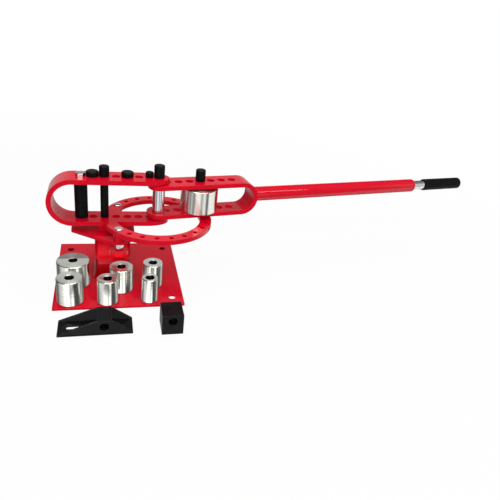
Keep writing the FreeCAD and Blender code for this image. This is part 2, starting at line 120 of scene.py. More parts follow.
def amount(name, description, default):
    """A property without a unit."""
    return FloatProperty(name=name, description=description, default=default)


def colour(name, description, default):
    """A colour property."""
    return FloatVectorProperty(name=name, description=description, default=default,
                               subtype="COLOR", size=3, min=0.0, max=1.0)


class BenderSizes(PropertyGroup):
    """Sizes of the bender's details."""
    bar_edge: length("Bar edge", "Rounding of the flat bars' edges", 1.1 * MM)
    hole_edge: length("Hole edge", "Rounding of a hole's rim", 0.5 * MM)
    plate_edge: length("Plate edge", "Rounding of the plates' edges", 0.7 * MM)
    pin_hole: length("Pin hole", "Radius of a pin hole", 8.1 * MM)
    bolt_hole: length("Bolt hole", "Radius of a bolt hole", 5.25 * MM)
    die_bore: length("Die bore", "Radius of a loose die's bore", 8.25 * MM)
    near_hole: length("Near hole", "Small hole's distance from the centre pin", 19.6 * MM)
    row_start: length("Row start", "First pin hole of the frame", 40.4 * MM)
    row_pitch: length("Row pitch", "Pitch of the frame's holes", 22.4 * MM)
    row_count: whole_number("Row holes", "Pin holes in the frame's row", 5)
    arm_row_start: length("Arm row start", "First pin hole of the arm", 41.0 * MM)
    arm_row_pitch: length("Arm row pitch", "Pitch of the arm's holes", 23.6 * MM)
    arm_row_count: whole_number("Arm holes", "Pin holes in the arm's row", 6)
    ring_bore: length("Ring bore", "Inner radius of the angle ring", 88.2 * MM)
    ring_circle: length("Ring hole circle", "Radius of the ring's hole circle", 100.6 * MM)
    ring_hole: length("Ring hole", "Radius of a ring hole", 5.0 * MM)
    ring_step: FloatProperty(name="Ring step", description="Angle between two ring holes",
                             default=math.radians(16.0), unit="ROTATION")
    base_hole: length("Base hole", "Radius of a bench bolt's hole", 7.0 * MM)
    base_hole_x: length("Base hole X", "Bench bolt from the plate's centre along X", 102.5 * MM)
    base_hole_y: length("Base hole Y", "Bench bolt from the plate's centre along Y", 104.0 * MM)
    frame_nose: length("Frame nose", "Length of the rounded nose of each open end", 44.5 * MM)
    head_rim: length("Pin head rim", "Rounding of a pin's head", 1.9 * MM)
    weld_ripple: length("Weld ripple", "Pitch of a weld bead's ripples", 1.7 * MM)


class BenderColours(PropertyGroup):
    """Colours of the bender's finishes."""
    enamel: colour("Enamel", "Red enamel of the frame and the arm", (0.63, 0.001, 0.017))
    enamel_deep: colour("Deep enamel", "Where the enamel lies thick", (0.48, 0.001, 0.009))
    # Enamel edge: a painted highlight, a paler red mixed onto the enamel's convex edges.
    enamel_edge_highlight: colour("Enamel edge", "Where the enamel lies thin, on edges", (0.85, 0.03, 0.06))
    # Post enamel: painted light, the red enamel made brighter for the post and its lug, which lie
    # in shade.
    lit_post_enamel: colour("Post enamel", "Fresh enamel of the post", (0.95, 0.001, 0.016))
    oxide: colour("Black oxide", "Pins and the strap die", (0.003, 0.003, 0.004))
    oxide_worn: colour("Worn oxide", "Cloudy places in black oxide", (0.014, 0.0135, 0.0135))
    oxide_edge: colour("Oxide edge", "Rubbed edges of black oxide", (0.26, 0.25, 0.25))
    steel: colour("Turned steel", "Turned dies", (0.88, 0.90, 0.83))
    steel_dark: colour("Tool marks", "Darker tool marks on turned steel", (0.62, 0.60, 0.55))
    polish: colour("Polished steel", "Centre die", (0.86, 0.87, 0.90))
    polish_dark: colour("Polish marks", "Darker marks on polished steel", (0.70, 0.71, 0.75))
    # Oily steel: painted shade, the dark grey inside each loose die's bore.
    bore_shade: colour("Oily steel", "Inside a die's bore", (0.14, 0.14, 0.14))
    zinc: colour("Zinc", "Zinc-plated bolts and tube", (0.80, 0.80, 0.81))
    zinc_dark: colour("Dark zinc", "Darker grains of the zinc", (0.62, 0.63, 0.66))
    rubber: colour("Rubber", "Hand grip", (0.003, 0.003, 0.0035))
    rubber_worn: colour("Worn rubber", "Handled places of the grip", (0.008, 0.008, 0.009))


class BenderStage(PropertyGroup):
    """The floor, the light and the camera."""
    floor_white: colour("Floor", "Colour of the floor", (0.65, 0.65, 0.65))
    # Under the plate: painted shade, a dark floor under the rear of the base plate, seen through
    # its bolt holes.
    floor_painted_shade: colour("Under the plate", "Floor under the base plate", (0.02, 0.004, 0.006))
    key_strength: amount("Key light", "Power of the front light", 10.0)
    front_strength: amount("Low front light", "Power of the low front light", 10.0)
    strip_strength: amount("Strip light", "Power of the long light over the handle", 10.0)
    top_strength: amount("Top light", "Power of the overhead light", 18.0)
    sky_strength: amount("Sky", "Strength of the even light", 0.40)
    lens: amount("Lens", "Focal length in millimetres", 37.08)


def sizes():
    """The bender's sizes."""
    return bpy.context.scene.bender_sizes


def colours():
    """The bender's colours."""
    return bpy.context.scene.bender_colours


# ---- building -------------------------------------------------------------------------------
def add_box(bm, corner, opposite):
    """A box between two corners."""
    centre = (Vector(corner) + Vector(opposite)) / 2
    sides = Vector(opposite) - Vector(corner)
    place = Matrix.Translation(centre) @ Matrix.Diagonal((sides.x, sides.y, sides.z, 1))
    bmesh.ops.create_cube(bm, size=1.0, matrix=place)


def add_cylinder(bm, radius, centre, depth, turn=UPRIGHT, steps=48):
    """A closed cylinder centred on a point."""
    bmesh.ops.create_cone(bm, cap_ends=True, segments=steps, radius1=radius, radius2=radius,
                          depth=depth, matrix=Matrix.Translation(centre) @ turn)


def items_of(geom, kind):
    """The vertices, edges or faces in the result of an operation."""
    return [item for item in geom if isinstance(item, kind)]


def add_prism(bm, outline, bottom, height):
    """An upright prism over corners (x, y)."""
    face = bm.faces.new([bm.verts.new((x, y, bottom)) for x, y in outline])
    raised = bmesh.ops.extrude_face_region(bm, geom=[face])["geom"]
    bmesh.ops.translate(bm, verts=items_of(raised, bmesh.types.BMVert), vec=(0, 0, height))
    bmesh.ops.recalc_face_normals(bm, faces=bm.faces[:])


def upright_edges(bm):
    """Edges that run along Z."""
    return [edge for edge in bm.edges
            if abs((edge.verts[1].co - edge.verts[0].co).normalized().z) > 0.999]


def round_edges(bm, edges, radius, steps=8):
    """Round the given edges."""
    bmesh.ops.bevel(bm, geom=edges, offset=radius, offset_type="OFFSET", segments=steps,
                    profile=0.5, affect="EDGES", clamp_overlap=True, material=-1)


def soften(bm, width, steps=3):
    """Round every sharp edge a little."""
    sharp = [e for e in bm.edges if len(e.link_faces) == 2 and e.calc_face_angle(0.0) > SHARP]
    round_edges(bm, sharp, width, steps)


def quarter(radius, top, across, up, steps):
    """Quarter ellipse from a turned piece's side to its top, as (radius, height) points."""
    angles = [math.pi / 2 * step / steps for step in range(steps + 1)]
    return [(radius - across + across * math.cos(angle), top - up + up * math.sin(angle))
            for angle in angles]


def band(inner, outer, start, end):
    """Outline of a plain tube, as (radius, height) points."""
    return [(inner, start), (outer, start), (outer, end), (inner, end)]


def spin_outline(bm, outline, centre=(0, 0, 0), turn=UPRIGHT, steps=72, closed=True):
    """Turn an outline of (radius, height) points about an axis through centre."""
    before = set(bm.verts)

    def added():
        return [vert for vert in bm.verts if vert not in before]

    verts = [bm.verts.new((radius, 0, height)) for radius, height in outline]
    pairs = list(zip(verts, verts[1:]))
    if closed:
        pairs.append((verts[-1], verts[0]))
    edges = [bm.edges.new(pair) for pair in pairs]
    bmesh.ops.spin(bm, geom=verts + edges, cent=(0, 0, 0), axis=(0, 0, 1), dvec=(0, 0, 0),
                   angle=math.tau, steps=steps, use_merge=True, use_duplicate=False)
    bmesh.ops.remove_doubles(bm, verts=added(), dist=MERGE)
    bmesh.ops.transform(bm, matrix=Matrix.Translation(centre) @ turn, verts=added())
    bmesh.ops.recalc_face_normals(bm, faces=bm.faces[:])


def new_mesh(name, bm):
    """A mesh object from a bmesh, which is freed."""
    mesh = bpy.data.meshes.new(name)
    bm.to_mesh(mesh)
    bm.free()
    piece = bpy.data.objects.new(name, mesh)
    bpy.context.scene.collection.objects.link(piece)
    return piece


def combined(bm, tool, operation="DIFFERENCE"):
    """A new bmesh: bm with tool cut away, joined or kept in common. Both are freed."""
    body = new_mesh("body", bm)
    other = new_mesh("tool", tool)
    modifier = body.modifiers.new("cut", "BOOLEAN")
    modifier.operation = operation
    modifier.solver = "EXACT"
    modifier.object = other
    bpy.context.view_layer.update()
    result = bmesh.new()
    result.from_object(body, bpy.context.evaluated_depsgraph_get())
    for item in (body, other):
        mesh = item.data
        bpy.data.objects.remove(item)
        bpy.data.meshes.remove(mesh)
    bmesh.ops.remove_doubles(result, verts=result.verts[:], dist=SLIVER)
    bmesh.ops.dissolve_degenerate(result, dist=SLIVER, edges=result.edges[:])
    return result


def drilled(bm, holes, bottom, top, drill=BAR_DRILL, steps=48):
    """Drill upright holes (x, y, radius) right through from bottom to top."""
    tool = bmesh.new()
    for x, y, radius in holes:
        add_cylinder(tool, radius, (x, y, (bottom + top) / 2), (top - bottom) * drill, steps=steps)
    return combined(bm, tool)


def dress(name, bm, node, material, weighted=True):
    """Finish a bmesh as the piece that stands for a CAD node."""
    piece = new_mesh(name, bm)
    piece.data.shade_smooth()
    piece.data.materials.append(material)
    if weighted:
        normals = piece.modifiers.new("flat faces", "WEIGHTED_NORMAL")
        normals.mode = "FACE_AREA_WITH_ANGLE"
        normals.weight = 50
        normals.keep_sharp = False
    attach(piece, frame["nodes"][node]["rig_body"])
    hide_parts(node)


def turned(name, node, outline, material, steps=64, closed=True, edge=0.0):
    """A piece turned about the upright axis through its CAD node's centre."""
    spot = middle(node)
    bm = bmesh.new()
    spin_outline(bm, outline, centre=(spot.x, spot.y, 0), steps=steps, closed=closed)
    if edge:
        soften(bm, edge, 2)
    dress(name, bm, node, material)


def to_frame(bm):
    """Move what is drawn along +X from the centre pin to the frame."""
    bmesh.ops.translate(bm, verts=bm.verts[:], vec=(PIVOT.x, PIVOT.y, 0))


def to_arm(bm):
    """Move what is drawn along +X from the centre pin to the arm."""
    place = Matrix.Translation((PIVOT.x, PIVOT.y, 0)) @ Matrix.Rotation(ARM_ANGLE, 4, "Z")
    bmesh.ops.transform(bm, matrix=place, verts=bm.verts[:])


# ---- shader nodes ---------------------------------------------------------------------------
def put(tree, node, inputs):
    """Link a node's inputs to sockets, or type numbers and colours into them."""
    for key, value in inputs.items():
        socket = node.inputs[key]
        if isinstance(value, NodeSocket):
            tree.links.new(value, socket)
        elif socket.type == "RGBA":
            socket.default_value = (*value, 1.0)
        else:
            socket.default_value = value


def node_of(tree, kind, inputs=None, **values):
    """A new node with its properties and its inputs set."""
    made = tree.nodes.new(kind)
    for key, value in values.items():
        setattr(made, key, value)
    put(tree, made, inputs or {})
    return made


def scalar(tree, operation, *values, clamp=False):
    """A Math node on sockets or numbers. Returns its output."""
    made = node_of(tree, "ShaderNodeMath", dict(enumerate(values)), operation=operation,
                   use_clamp=clamp)
    return made.outputs[0]


def vector_math(tree, operation, *values):
    """A Vector Math node on sockets or vectors."""
    return node_of(tree, "ShaderNodeVectorMath", dict(enumerate(values)), operation=operation)


def blended(tree, factor, first, second):
    """A colour mix of sockets or colours. Returns its output."""
    made = node_of(tree, "ShaderNodeMix", {0: factor, 6: first, 7: second}, data_type="RGBA")
    return made.outputs[2]


def ranged(tree, value, low_in, high_in, low_out, high_out):
    """Map Range on a socket. Returns its output."""
    limits = (value, low_in, high_in, low_out, high_out)
    return node_of(tree, "ShaderNodeMapRange", dict(enumerate(limits))).outputs[0]


def noise(tree, vector, scale, detail, roughness=0.55):
    """Noise on a vector. Returns its value."""
    return node_of(tree, "ShaderNodeTexNoise", {"Vector": vector, "Scale": scale, "Detail": detail,
                                                "Roughness": roughness}).outputs[0]


def split(tree, vector):
    """The X, Y and Z sockets of a vector."""
    return node_of(tree, "ShaderNodeSeparateXYZ", {0: vector}).outputs


def object_place(tree):
    """Object coordinates."""
    return tree.nodes.new("ShaderNodeTexCoord").outputs["Object"]


def shared_group(name, inputs, outputs, fill_in):
    """The node group of this name, filled in when it is first asked for."""
    if name in bpy.data.node_groups:
        return bpy.data.node_groups[name]
    group = bpy.data.node_groups.new(name, "ShaderNodeTree")
    for label, kind, value in inputs:
        socket = group.interface.new_socket(label, in_out="INPUT", socket_type="NodeSocket" + kind)
        if value is not None:
            socket.default_value = value
    for label in outputs:
        group.interface.new_socket(label, in_out="OUTPUT", socket_type="NodeSocketFloat")
    inside = group.nodes.new("NodeGroupInput").outputs
    put(group, group.nodes.new("NodeGroupOutput"), fill_in(group, inside))
    return group


def wear_and_highlight_edge(group, inside):
    """Mask of convex edges, broken up by noise, for rubbed wear on black oxide and a painted
    highlight on enamel.
    """
    bevel = node_of(group, "ShaderNodeBevel", {"Radius": inside["Width"]}, samples=4)
    geometry = group.nodes.new("ShaderNodeNewGeometry")
    meeting = vector_math(group, "DOT_PRODUCT", bevel.outputs[0], geometry.outputs["True Normal"])
    bent = ranged(group, meeting.outputs["Value"], 0.995, 0.90, 0.0, 1.0)
    made = noise(group, object_place(group), inside["Scale"], 5.0, 0.5)
    patches = ranged(group, made, 0.38, 0.62, 0.0, 1.0)
    kept = scalar(group, "MULTIPLY", inside["Break-up"], patches)
    rest = scalar(group, "SUBTRACT", 1.0, inside["Break-up"])
    return {0: scalar(group, "MULTIPLY", bent, scalar(group, "ADD", kept, rest), clamp=True)}


def edge_mask(tree, width, break_up, scale=90.0):
    """A piece's convex edges, for rubbed wear on oxide and a painted highlight on enamel. Returns
    the mask.
    """
    group = shared_group("Rubbed edge", [("Width", "Float", 0.001), ("Break-up", "Float", 0.5),
                                         ("Scale", "Float", 90.0)], ["Mask"], wear_and_highlight_edge)
    return node_of(tree, "ShaderNodeGroup", {"Width": width, "Break-up": break_up, "Scale": scale},
                   node_tree=group).outputs[0]


def lathe_lines(group, inside):
    """Fine lathe lines round an axis by radius and height, and a broad variation."""
    x, y, z = split(group, inside["Vector"])
    squares = scalar(group, "ADD", scalar(group, "MULTIPLY", x, x), scalar(group, "MULTIPLY", y, y))
    radius = scalar(group, "SQRT", squares)
    across = node_of(group, "ShaderNodeCombineXYZ", {0: radius, 1: z}).outputs[0]
    pitch = inside["Pitch scale"]
    return {"Lines": noise(group, across, pitch, 3.0, 0.5),
            "Bands": noise(group, across, scalar(group, "MULTIPLY", pitch, 0.14), 2.0, 0.5)}


def bump(tree, shader, height, strength, distance):
    """Bump from a height on the shader's normal."""
    made = node_of(tree, "ShaderNodeBump", {"Strength": strength, "Distance": distance,
                                            "Height": height})
    put(tree, shader, {"Normal": made.outputs[0]})


# ---- materials ------------------------------------------------------------------------------
def material_of(name, paint, *settings):
    """The material of this name, painted when it is first asked for."""
    if name not in bpy.data.materials:
        material = bpy.data.materials.new(name)
        material.use_nodes = True
        tree = material.node_tree
        paint(tree, tree.nodes["Principled BSDF"], object_place(tree), *settings)
    return bpy.data.materials[name]


# Paint where it is thin and thick, and how much gloss it has face on and at a glancing angle.
ENAMELS = {"red enamel": ("enamel", "enamel_deep", 0.03, 0.75),
           # The lit post enamel is painted light: the same red made brighter for the shaded post
           # and lug.
           "post enamel": ("lit_post_enamel", "lit_post_enamel", 0.20, 0.40),
           "head enamel": ("enamel", "enamel_deep", 0.02, 0.10),
           "handle enamel": ("enamel", "enamel_deep", 0.9, 0.15)}


def enamel(name="red enamel"):
    """One of the coats of enamel."""
    return material_of(name, paint_enamel, *ENAMELS[name])


def paint_enamel(tree, shader, place, thin, thick, gloss_facing, gloss_glancing):
    """Glossy red enamel: slight waves, thicker and thinner paint, and a painted highlight that
    pales the convex edges.
    """
    broad = noise(tree, place, 14.0, 3.0)
    fine = noise(tree, place, 420.0, 2.0)
    tone = blended(tree, ranged(tree, broad, 0.35, 0.65, 0.0, 0.35), getattr(colours(), thin),
                   getattr(colours(), thick))
    # Painted highlight: the edge mask mixes a paler red onto convex edges.
    painted_edge_highlight = scalar(tree, "MULTIPLY", edge_mask(tree, 1.2 * MM, 0.35), 0.14)
    facing = tree.nodes.new("ShaderNodeLayerWeight").outputs["Facing"]
    put(tree, shader, {
        "Base Color": blended(tree, painted_edge_highlight, tone, colours().enamel_edge_highlight),
        "Roughness": scalar(tree, "ADD", ranged(tree, fine, 0.3, 0.7, 0.0, 0.08),
                            ranged(tree, broad, 0.3, 0.7, 0.22, 0.34)),
        "Coat Weight": ranged(tree, facing, 0.32, 0.62, gloss_facing, gloss_glancing),
        "Coat Roughness": 0.05, "Coat IOR": 1.5, "Specular IOR Level": 0.05})
    waves = scalar(tree, "ADD", noise(tree, place, 70.0, 1.0), scalar(tree, "MULTIPLY", fine, 0.03))
    bump(tree, shader, waves, 0.1, 0.1 * MM)


def black_oxide(name, rub, shine):
    """Black oxide on steel, rubbed and shiny by so much."""
    return material_of(name, paint_oxide, rub, shine)


def paint_oxide(tree, shader, place, rub, shine):
    """Black oxide: satin, a little cloudy, rubbed bright at the edges."""
    cloud = noise(tree, place, 60.0, 5.0)
    grain = noise(tree, place, 900.0, 2.0)
    tone = blended(tree, ranged(tree, cloud, 0.35, 0.7, 0.0, 0.30), colours().oxide,
                   colours().oxide_worn)
    rubbed = scalar(tree, "MULTIPLY", edge_mask(tree, 0.9 * MM, 0.7, 160.0), rub)
    put(tree, shader, {
        "Base Color": blended(tree, rubbed, tone, colours().oxide_edge),
        "Specular IOR Level": shine,
        "Roughness": scalar(tree, "ADD", ranged(tree, cloud, 0.3, 0.7, 0.18, 0.28),
                            ranged(tree, grain, 0.3, 0.7, -0.03, 0.05))})
    bump(tree, shader, grain, 0.08, 0.3 * MM)


def round_axis(tree, own):
    """Direction of the tool marks round a turned piece's axis, in the world."""
    x, y, _ = split(tree, own)
    across = node_of(tree, "ShaderNodeCombineXYZ", {0: scalar(tree, "MULTIPLY", y, -1.0), 1: x})
    moved = node_of(tree, "ShaderNodeVectorTransform", {0: across.outputs[0]}, vector_type="VECTOR",
                    convert_from="OBJECT", convert_to="WORLD")
    return vector_math(tree, "NORMALIZE", moved.outputs[0]).outputs[0]


def turned_steel(name, node, base, marks, roughness, pitch, depth, bore=0.0):
    """Steel turned about the upright axis of its CAD node."""
    return material_of(name, paint_steel, middle(node), base, marks, roughness, pitch, depth, bore)


def paint_steel(tree, shader, place, centre, base, marks, roughness, pitch, depth, bore):
    """Turned steel with fine lines round its axis, and painted shade, a dark grey, inside its bore.
    """
    own = node_of(tree, "ShaderNodeMapping", {"Vector": place, "Location": centre},
                  vector_type="TEXTURE").outputs[0]
    group = shared_group("Lathe lines", [("Vector", "Vector", None),
                                         ("Pitch scale", "Float", 900.0)],
                         ["Lines", "Bands"], lathe_lines)
    lines = node_of(tree, "ShaderNodeGroup", {"Vector": own, "Pitch scale": pitch},
                    node_tree=group).outputs
    mix = scalar(tree, "ADD", scalar(tree, "MULTIPLY", lines["Lines"], 0.7),
                 scalar(tree, "ADD", scalar(tree, "MULTIPLY", lines["Bands"], 0.1),
                        scalar(tree, "MULTIPLY", noise(tree, place, 55.0, 4.0), 0.2)))
    tone = blended(tree, ranged(tree, mix, 0.38, 0.62, 0.0, 0.5), base, marks)
    # Painted shade: a dark grey inside the bore, where the radius comes near the bore's.
    if bore:
        flat = vector_math(tree, "MULTIPLY", own, (1, 1, 0)).outputs[0]
        radius = vector_math(tree, "LENGTH", flat).outputs["Value"]
        bore_shade = ranged(tree, radius, bore + 0.2 * MM, bore + 0.6 * MM, 1.0, 0.0)
        tone = blended(tree, bore_shade, tone, colours().bore_shade)
    put(tree, shader, {
        "Base Color": tone, "Metallic": 1.0, "Anisotropic": 0.92, "Anisotropic Rotation": 0.25,
        "Roughness": ranged(tree, mix, 0.36, 0.64, roughness * 0.85, roughness * 1.15),
        "Tangent": round_axis(tree, own)})
    bump(tree, shader, lines["Lines"], 1.0, depth)


def zinc():
    """Bright zinc plate."""
    return material_of("bright zinc", paint_zinc)


def paint_zinc(tree, shader, place):
    """Bright zinc with faint grains."""
    spangle = noise(tree, place, 260.0, 3.0)
    put(tree, shader, {
        "Base Color": blended(tree, ranged(tree, spangle, 0.35, 0.65, 0.0, 0.5), colours().zinc,
                              colours().zinc_dark),
        "Metallic": 1.0, "Roughness": ranged(tree, spangle, 0.3, 0.7, 0.14, 0.30)})
    bump(tree, shader, spangle, 0.12, 0.3 * MM)


def paint_rubber(tree, shader, place):
    """Smooth black rubber with a fine moulded grain."""
    cloud = noise(tree, place, 45.0, 4.0)
    put(tree, shader, {
        "Base Color": blended(tree, ranged(tree, cloud, 0.35, 0.7, 0.0, 0.5), colours().rubber,
                              colours().rubber_worn),
        "Specular IOR Level": 0.06, "Roughness": ranged(tree, cloud, 0.3, 0.7, 0.38, 0.52)})
    bump(tree, shader, noise(tree, place, 1400.0, 2.0), 0.25, 0.2 * MM)


# ---- stand ----------------------------------------------------------------------------------
BASE_CORNER = 2 * MM
POST_CORNER = 6 * MM
EYE_HOLE = 8.5 * MM
EYE_NECK_HALF = 13 * MM
EYE_ROUND = 3.4 * MM
HEAD_NARROW_HALF = 10.5 * MM
HEAD_RIGHT_HALF = 50 * MM
HEAD_WIDE = (0.3 * MM, 20.3 * MM)    # from the post's axis to where the full width starts and ends
HEAD_CORNER = 2 * MM


class BENDER_OT_base_plate(Operator):
    """Base plate with its four bench bolt holes"""
    bl_idname = "bender.base_plate"
    bl_label = "Base plate"

    def execute(self, context):
        lo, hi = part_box("base_plate")
        bm = bmesh.new()
        add_box(bm, lo, hi)
        round_edges(bm, upright_edges(bm), BASE_CORNER, 4)
        far_x, far_y = sizes().base_hole_x, sizes().base_hole_y
        holes = [(x, y, sizes().base_hole) for x in (-far_x, far_x) for y in (-far_y, far_y)]
        bm = drilled(bm, holes, lo.z, hi.z, PLATE_DRILL)
        soften(bm, sizes().hole_edge)
        dress("plate_on_bench", bm, "base_plate", enamel())
        return {"FINISHED"}


def bead(points, normals, radius):
    """A closed, rippled weld bead: rings of vertices along points, bridged in order."""
    bm = bmesh.new()
    loops = []
    for index, (point, normal) in enumerate(zip(points, normals)):
        along = (points[(index + 1) % len(points)] - points[index - 1]).normalized()
        side = along.cross(normal).normalized()
        turn = Matrix((side, normal, along)).transposed().to_4x4()
        swell = radius * (1.0 + 0.10 * (index % 2) - 0.05)
        ring = bmesh.ops.create_circle(bm, cap_ends=False, radius=swell, segments=8,
                                       matrix=Matrix.Translation(point) @ turn)["verts"]
        loops.append([e for e in bm.edges if e.verts[0] in ring and e.verts[1] in ring])
    for first, second in zip(loops, loops[1:] + loops[:1]):
        bmesh.ops.bridge_loops(bm, edges=first + second)
    bmesh.ops.recalc_face_normals(bm, faces=bm.faces[:])
    return bm


def square_path(centre, half, corner, height, step):
    """Evenly spaced points and outward normals round a square with rounded corners."""
    points, normals = [], []
    straight = 2 * (half - corner)
    bend = Vector((half - corner, half - corner, 0))
    for side in range(4):
        turn = Matrix.Rotation(side * math.pi / 2, 3, "Z")
        count = max(2, round(straight / step))
        for index in range(count):
            along = -straight / 2 + straight * index / count
            points.append(centre + turn @ Vector((half, along, 0)))
            normals.append(turn @ Vector((1, 0, 0)))
        bends = max(2, round(corner * math.pi / 2 / step))
        for index in range(bends):
            angle = math.pi / 2 * index / bends
            way = Vector((math.cos(angle), math.sin(angle), 0))
            points.append(centre + turn @ (bend + way * corner))
            normals.append(turn @ way)
    for point in points:
        point.z = height
    return points, normals


class BENDER_OT_post(Operator):
    """Square tube post with its weld beads"""
    bl_idname = "bender.post"
    bl_label = "Post"

    def execute(self, context):
        bm = bmesh.new()
        add_box(bm, *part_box("post"))
        round_edges(bm, upright_edges(bm), POST_CORNER)
        dress("square_post", bm, "post", enamel("post enamel"))
        half = size("post").x / 2
        for name, node, up in (("foot_bead", "post_foot_weld", 1),
                               ("head_bead", "post_head_weld", -1)):
            radius = size(node).z * 0.42
            level = (low(node).z if up > 0 else high(node).z) + up * radius * 0.8
            points, normals = square_path(middle("post").to_2d().to_3d(), half + radius * 0.55,
                                          POST_CORNER + 1 * MM, level, sizes().weld_ripple)
            dress(name, bead(points, normals, radius), node, enamel(), weighted=False)
        return {"FINISHED"}


class BENDER_OT_eye(Operator):
    """Lug with an eye on the front of the post"""
    bl_idname = "bender.eye"
    bl_label = "Eye"

    def execute(self, context):
        lo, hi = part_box("post_eye")
        radius = size("post_eye").x / 2
        centre = Vector(((lo.x + hi.x) / 2, lo.y + radius, (lo.z + hi.z) / 2))
        bm = bmesh.new()
        add_cylinder(bm, radius, centre, hi.z - lo.z, steps=64)
        neck = bmesh.new()
        add_box(neck, (centre.x - EYE_NECK_HALF, centre.y, lo.z),
                (centre.x + EYE_NECK_HALF, hi.y + 1 * MM, hi.z))
        bm = combined(bm, neck, "UNION")
        bm = drilled(bm, [(centre.x, centre.y, EYE_HOLE)], lo.z, hi.z)
        soften(bm, EYE_ROUND, 6)
        dress("post_lug", bm, "post_eye", enamel("post enamel"))
        return {"FINISHED"}


class BENDER_OT_head(Operator):
    """Head plate on the post and the block that carries the frame"""
    bl_idname = "bender.head"
    bl_label = "Head plate"

    def execute(self, context):
        lo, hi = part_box("head_plate")
        post = middle("post")
        wide_half = (hi.y - lo.y) / 2
        halves = [(lo.x, HEAD_NARROW_HALF), *((post.x + x, wide_half) for x in HEAD_WIDE),
                  (hi.x, HEAD_RIGHT_HALF)]
        outline = [(x, post.y - half) for x, half in halves]
        outline += [(x, post.y + half) for x, half in reversed(halves)]
        plate = bmesh.new()
        add_prism(plate, outline, lo.z, hi.z - lo.z)
        round_edges(plate, upright_edges(plate), HEAD_CORNER, 3)
        block = bmesh.new()
        add_box(block, *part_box("head_block"))
        for name, bm, node in (("head_under_frame", plate, "head_plate"),
                               ("block_under_frame", block, "head_block")):
            soften(bm, sizes().plate_edge)
            dress(name, bm, node, enamel("head enamel"))
        return {"FINISHED"}


# ---- bent bars ------------------------------------------------------------------------------
BAR_THICK = size("angle_ring").z
BAR_WIDTH = size("frame_bar").y
ARM_TIP = -23 * MM               # open end of the arm, from the centre pin
ARM_END = 216 * MM               # and its closed end
ARM_ROUND = 22 * MM              # corners of its open ends
BEND_STEPS = 56
NOSE_STEPS = 40
RING_GAP = 0.2 * MM              # between the ring's ends and the frame
RING_HOLES = range(-8, 9)        # steps from the arm's side


def bent_bar(node_low, node_high, open_x, closed_x):
    """Flat bar bent into a U on its side, along X."""
    outer = (node_high - node_low) / 2
    mid = (node_high + node_low) / 2
    side = 1 if closed_x > open_x else -1
    bend_x = closed_x - side * outer
    half = BAR_WIDTH / 2
    bm = bmesh.new()
    corners = [(-half, node_low), (half, node_low), (half, node_low + BAR_THICK),
               (-half, node_low + BAR_THICK)]
    face = bm.faces.new([bm.verts.new((open_x, y, z)) for y, z in corners])
    grown = bmesh.ops.extrude_face_region(bm, geom=[face])["geom"]
    bmesh.ops.translate(bm, verts=items_of(grown, bmesh.types.BMVert), vec=(bend_x - open_x, 0, 0))
    spun = bmesh.ops.spin(bm, geom=grown, cent=(bend_x, 0, mid), axis=(0, 1, 0), dvec=(0, 0, 0),
                          angle=-side * math.pi, steps=BEND_STEPS, use_merge=False,
                          use_duplicate=False)
    last = items_of(spun["geom_last"], bmesh.types.BMFace)
    grown = bmesh.ops.extrude_face_region(bm, geom=last)["geom"]
    bmesh.ops.translate(bm, verts=items_of(grown, bmesh.types.BMVert), vec=(open_x - bend_x, 0, 0))
    bmesh.ops.delete(bm, geom=[f for f in last if f.is_valid], context="FACES_ONLY")
    bmesh.ops.remove_doubles(bm, verts=bm.verts[:], dist=MERGE)
    bmesh.ops.recalc_face_normals(bm, faces=bm.faces[:])
    return bm


def nosed(bm, tip, length, far, bottom, top):
    """Cut the bar's open ends to a half ellipse of this length that ends at tip."""
    half = BAR_WIDTH / 2
    start = tip - length
    side = [(start + length * math.sin(angle), half * math.cos(angle))
            for angle in (math.pi / 2 * step / NOSE_STEPS for step in range(1, NOSE_STEPS + 1))]
    outline = [(far - 5 * MM, half + 1 * MM), (start, half + 1 * MM)] + side
    outline += [(x, -y) for x, y in reversed(outline[:-1])]
    tool = bmesh.new()
    add_prism(tool, outline, bottom - 5 * MM, top - bottom + 10 * MM)
    return combined(bm, tool, "INTERSECT")


def bar_holes(way, start, pitch, count):
    """Holes along a bar: the centre pin's, the small one next to it and the row."""
    places = [0.0] + [way * (start + pitch * step) for step in range(count)]
    return ([(place, 0, sizes().pin_hole) for place in places]
            + [(way * sizes().near_hole, 0, sizes().bolt_hole)])


class BENDER_OT_frame(Operator):
    """Fixed frame bent from one flat bar"""
    bl_idname = "bender.frame"
    bl_label = "Frame"

    def execute(self, context):
        lo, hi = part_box("frame_bar")
        tip, far = hi.x - PIVOT.x, lo.x - PIVOT.x
        bm = bent_bar(lo.z, hi.z, tip, far)
        bm = nosed(bm, tip, sizes().frame_nose, far, lo.z, hi.z)
        holes = bar_holes(-1, sizes().row_start, sizes().row_pitch, sizes().row_count)
        bm = drilled(bm, holes, lo.z, hi.z)
        soften(bm, sizes().bar_edge)
        to_frame(bm)
        dress("bent_frame", bm, "frame_bar", enamel())
        return {"FINISHED"}


class BENDER_OT_arm(Operator):
    """Swing arm bent from one flat bar"""
    bl_idname = "bender.arm"
    bl_label = "Swing arm"

    def execute(self, context):
        lo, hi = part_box("arm_bar")
        bm = bent_bar(lo.z, hi.z, ARM_TIP, ARM_END)
        ends = [edge for edge in upright_edges(bm)
                if all(abs(vert.co.x - ARM_TIP) < SLIVER for vert in edge.verts)]
        round_edges(bm, ends, ARM_ROUND, 14)
        holes = bar_holes(1, sizes().arm_row_start, sizes().arm_row_pitch, sizes().arm_row_count)
        bm = drilled(bm, holes, lo.z, hi.z)
        soften(bm, sizes().bar_edge)
        to_arm(bm)
        dress("swing_arm", bm, "arm_bar", enamel())
        return {"FINISHED"}


